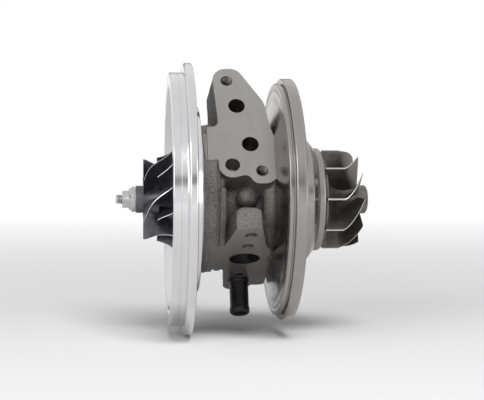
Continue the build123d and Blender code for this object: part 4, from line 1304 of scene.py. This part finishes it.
# Each metal: how it is made, the colour setting that it takes, and its own values, lines and grains per metre
METALS = {
    "cast_iron": (rough_casting, "cast_iron", {}),
    "milled_iron": (
        machined,
        "milled_iron",
        {"roughness": 0.36, "lines": 1500.0, "metallic": 0.9, "arcs": MILLED_ARCS},
    ),
    # Bored iron is the milled colour at 0.42: painted shade that darkens the holes, bores, threads and groove
    # floor
    "bored_iron": (
        machined,
        "milled_iron",
        {"roughness": 0.34, "lines": 2000.0, "metallic": 0.9, "depth": 0.00002, "share": 0.42},
    ),
    "turned_iron": (machined, "milled_iron", {"roughness": 0.19, "lines": 2400.0, "depth": 0.000012}),
    "turned_aluminium": (
        machined,
        "aluminium",
        {"roughness": 0.12, "lines": 2600.0, "depth": 0.000008, "spread": 0.05},
    ),
    "wheel_aluminium": (
        fine_casting,
        "wheel_aluminium",
        {"roughness": 0.38, "grains": 4200.0, "depth": 0.00005},
    ),
    # The wheel's edge metal: machined edge brightness with a painted highlight on the blade rims
    "wheel_edge": (machined, "wheel_edge", {"roughness": 0.22, "lines": 3000.0, "depth": 0.000005}),
    "nickel_alloy": (fine_casting, "nickel_alloy", {"roughness": 0.40, "grains": 3600.0, "depth": 0.00006}),
    # The turbine's edge metal: ground edge brightness with a painted highlight on the blade rims
    "nickel_edge": (machined, "nickel_edge", {"roughness": 0.26, "lines": 3000.0, "depth": 0.000005}),
    "bright_steel": (machined, "bright_steel", {"roughness": 0.24, "lines": 3000.0}),
    "satin_steel": (machined, "satin_steel", {"roughness": 0.30, "lines": 3000.0, "metallic": 0.45}),
    "shield_steel": (machined, "shield_steel", {"roughness": 0.34, "lines": 1200.0}),
    "bronze": (machined, "bronze", {"roughness": 0.28, "lines": 2600.0}),
    "black_steel": (black_coating, "black_steel", {}),
    "rubber": (moulded_rubber, "rubber", {}),
}


def metal(name):
    """The metal of this name, made once and shared by every piece that takes it."""
    build, setting, values = METALS[name]
    base = tuple(getattr(bpy.context.scene.cartridge_finish, setting))
    return bpy.data.materials.get(name) or build(name, base, **values)


# Camera, floor and light

# The photograph's camera: width, focal length and upward shift, in its pixels
PHOTO_WIDTH = 484
PHOTO_FOCAL_LENGTH = 1080
PHOTO_SHIFT = -0.7
SENSOR_WIDTH = 36.0
CAMERA_STATION = -83.08

# Stage, in metres: the floor keeps its own colour near the object and is white from the second reach on
FLOOR_RADIUS = 4.0
FLOOR_GAP = 0.0003
FLOOR_REACHES = (0.2143, 3.3462)
FLOOR_FALL = 0.5
LAMP_AIM = (-0.02, 0.0, 0.0)

# How light the room is by height of the direction, from straight down at 0 to straight up at 1
ROOM_TONES = (
    (0.0, 1.0),
    (0.593, 1.0),
    (0.605, 0.30),
    (0.655, 0.25),
    (0.675, 0.75),
    (0.79, 1.0),
    (0.87, 0.95),
    (1.0, 0.9),
)


def lamp(name, place, width, height, power):
    """A rectangular softbox aimed at the object."""
    data = bpy.data.lights.new(name, "AREA")
    data.shape = "RECTANGLE"
    data.size = width
    data.size_y = height
    data.energy = power
    made = bpy.data.objects.new(name, data)
    made.location = place
    made.rotation_euler = (Vector(LAMP_AIM) - Vector(place)).to_track_quat("-Z", "Y").to_euler()
    bpy.context.scene.collection.objects.link(made)
    return made


def photo_camera(stage):
    """The photograph's camera, level with the shaft."""
    data = bpy.data.cameras.new("camera")
    data.sensor_width = SENSOR_WIDTH
    data.lens = SENSOR_WIDTH * PHOTO_FOCAL_LENGTH / PHOTO_WIDTH
    data.shift_y = PHOTO_SHIFT / PHOTO_WIDTH
    camera = bpy.data.objects.new("camera", data)
    camera.location = (CAMERA_STATION * MM, -stage.camera_distance, 0.0)
    ahead = Vector((math.sin(stage.camera_yaw), math.cos(stage.camera_yaw), 0))
    camera.rotation_euler = ahead.to_track_quat("-Z", "Y").to_euler()
    bpy.context.scene.collection.objects.link(camera)
    return camera


def studio_world(scene, room_light):
    """A white room with a grey gap high on its walls, and the light that it gives."""
    world = bpy.data.worlds.new("studio")
    scene.world = world
    world.use_nodes = True
    tree = world.node_tree
    tree.nodes.clear()
    direction = node(tree, "ShaderNodeTexCoord").outputs["Generated"]
    height = node(tree, "ShaderNodeSeparateXYZ", {0: direction}).outputs[2]
    ramp = node(tree, "ShaderNodeValToRGB", {"Fac": ramped(tree, height, -1.0, 1.0)})
    elements = ramp.color_ramp.elements
    elements.remove(elements[0])
    elements[0].position = ROOM_TONES[0][0]
    for position, _ in ROOM_TONES[1:]:
        elements.new(position)
    for element, (_, level) in zip(elements, ROOM_TONES):
        element.color = (level, level, level, 1.0)
    seen = node(tree, "ShaderNodeBackground", {"Color": ramp.outputs[0], "Strength": 1.0})
    light = ramped(tree, height, -0.1, 0.9, 0.25 * room_light, room_light)
    given = node(tree, "ShaderNodeBackground", {"Color": (1, 1, 1, 1), "Strength": light})
    shares = {0: seen_directly(tree), 1: given.outputs[0], 2: seen.outputs[0]}
    mix = node(tree, "ShaderNodeMixShader", shares)
    node(tree, "ShaderNodeOutputWorld", {0: mix.outputs[0]})


def floor_material(tone):
    """Pale floor that fades into the white of the room far from the object."""
    material = bpy.data.materials.new("studio_floor")
    material.use_nodes = True
    tree = material.node_tree
    shader = tree.nodes["Principled BSDF"]
    shader.inputs["Base Color"].default_value = tone
    shader.inputs["Roughness"].default_value = 0.9
    shader.inputs["Specular IOR Level"].default_value = 0.1
    place = node(tree, "ShaderNodeTexCoord").outputs["Object"]
    far = node(tree, "ShaderNodeVectorMath", {0: place}, operation="LENGTH").outputs["Value"]
    nearness = math_node(tree, "DIVIDE", 1.0, math_node(tree, "ADD", far, FLOOR_FALL))
    near, distant = (1 / (reach + FLOOR_FALL) for reach in FLOOR_REACHES)
    fade = ramped(tree, nearness, distant, near, 1.0, 0.0)
    white = node(tree, "ShaderNodeEmission", {"Color": (1, 1, 1, 1), "Strength": 1.0})
    seen = times(tree, fade, seen_directly(tree))
    mix = node(tree, "ShaderNodeMixShader", {0: seen, 1: shader.outputs[0], 2: white.outputs[0]})
    tree.links.new(mix.outputs[0], tree.nodes["Material Output"].inputs["Surface"])
    return material


class CARTRIDGE_OT_stage(bpy.types.Operator):
    """Camera, floor and studio light"""

    bl_idname = "cartridge.stage"
    bl_label = "Stage"

    def execute(self, context):
        scene = context.scene
        stage = scene.cartridge_stage
        scene.view_settings.view_transform = "Standard"
        scene.camera = photo_camera(stage)

        bm = bmesh.new()
        bmesh.ops.create_circle(bm, cap_ends=True, segments=96, radius=FLOOR_RADIUS)
        bmesh.ops.translate(bm, verts=bm.verts, vec=(0, 0, cad_box[0][2] - FLOOR_GAP))
        mesh = bpy.data.meshes.new("floor")
        bm.to_mesh(mesh)
        bm.free()
        mesh.materials.append(floor_material(stage.floor))
        floor = bpy.data.objects.new("floor", mesh)
        scene.collection.objects.link(floor)

        key = lamp("key", (0.15, -1.25, 1.35), 0.9, 0.7, stage.key_power)
        key.visible_glossy = False
        lamp("side", (-1.15, -1.35, 0.75), 1.2, 1.2, stage.key_power * 0.5)
        lamp("fill", (1.25, -1.2, 0.35), 0.8, 1.0, stage.key_power * 0.15)
        studio_world(scene, stage.room_light)
        return {"FINISHED"}


# Add-on

OPERATORS = (
    CARTRIDGE_OT_stage,
    CARTRIDGE_OT_backplate,
    CARTRIDGE_OT_housing,
    CARTRIDGE_OT_turbine_disc,
    CARTRIDGE_OT_heat_shield,
    CARTRIDGE_OT_nipple,
    CARTRIDGE_OT_orifice,
    CARTRIDGE_OT_port_threads,
    CARTRIDGE_OT_compressor_wheel,
    CARTRIDGE_OT_turbine_wheel,
    CARTRIDGE_OT_shaft,
    CARTRIDGE_OT_nut,
    CARTRIDGE_OT_inner_pieces,
)
SETTINGS = (
    ("cartridge_sizes", CartridgeSizes),
    ("cartridge_finish", CartridgeFinish),
    ("cartridge_stage", CartridgeStage),
)


class CARTRIDGE_PT_panel(bpy.types.Panel):
    """The cartridge's settings and pieces"""

    bl_idname = "CARTRIDGE_PT_panel"
    bl_label = "Turbo cartridge"
    bl_space_type = "VIEW_3D"
    bl_region_type = "UI"
    bl_category = "Cartridge"

    def draw(self, context):
        layout = self.layout
        for name, group in SETTINGS:
            box = layout.box()
            for setting in group.__annotations__:
                box.prop(getattr(context.scene, name), setting)
        for operator in OPERATORS:
            layout.operator(operator.bl_idname)


def register():
    for _, group in SETTINGS:
        bpy.utils.register_class(group)
    for name, group in SETTINGS:
        setattr(bpy.types.Scene, name, PointerProperty(type=group))
    for cls in (*OPERATORS, CARTRIDGE_PT_panel):
        bpy.utils.register_class(cls)


def unregister():
    for cls in reversed((*OPERATORS, CARTRIDGE_PT_panel)):
        bpy.utils.unregister_class(cls)
    for name, group in reversed(SETTINGS):
        delattr(bpy.types.Scene, name)
        bpy.utils.unregister_class(group)


def main():
    """Registers the add-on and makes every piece."""
    register()
    for operator in OPERATORS:
        section, _, name = operator.bl_idname.partition(".")
        getattr(getattr(bpy.ops, section), name)()


if __name__ == "__main__":
    main()
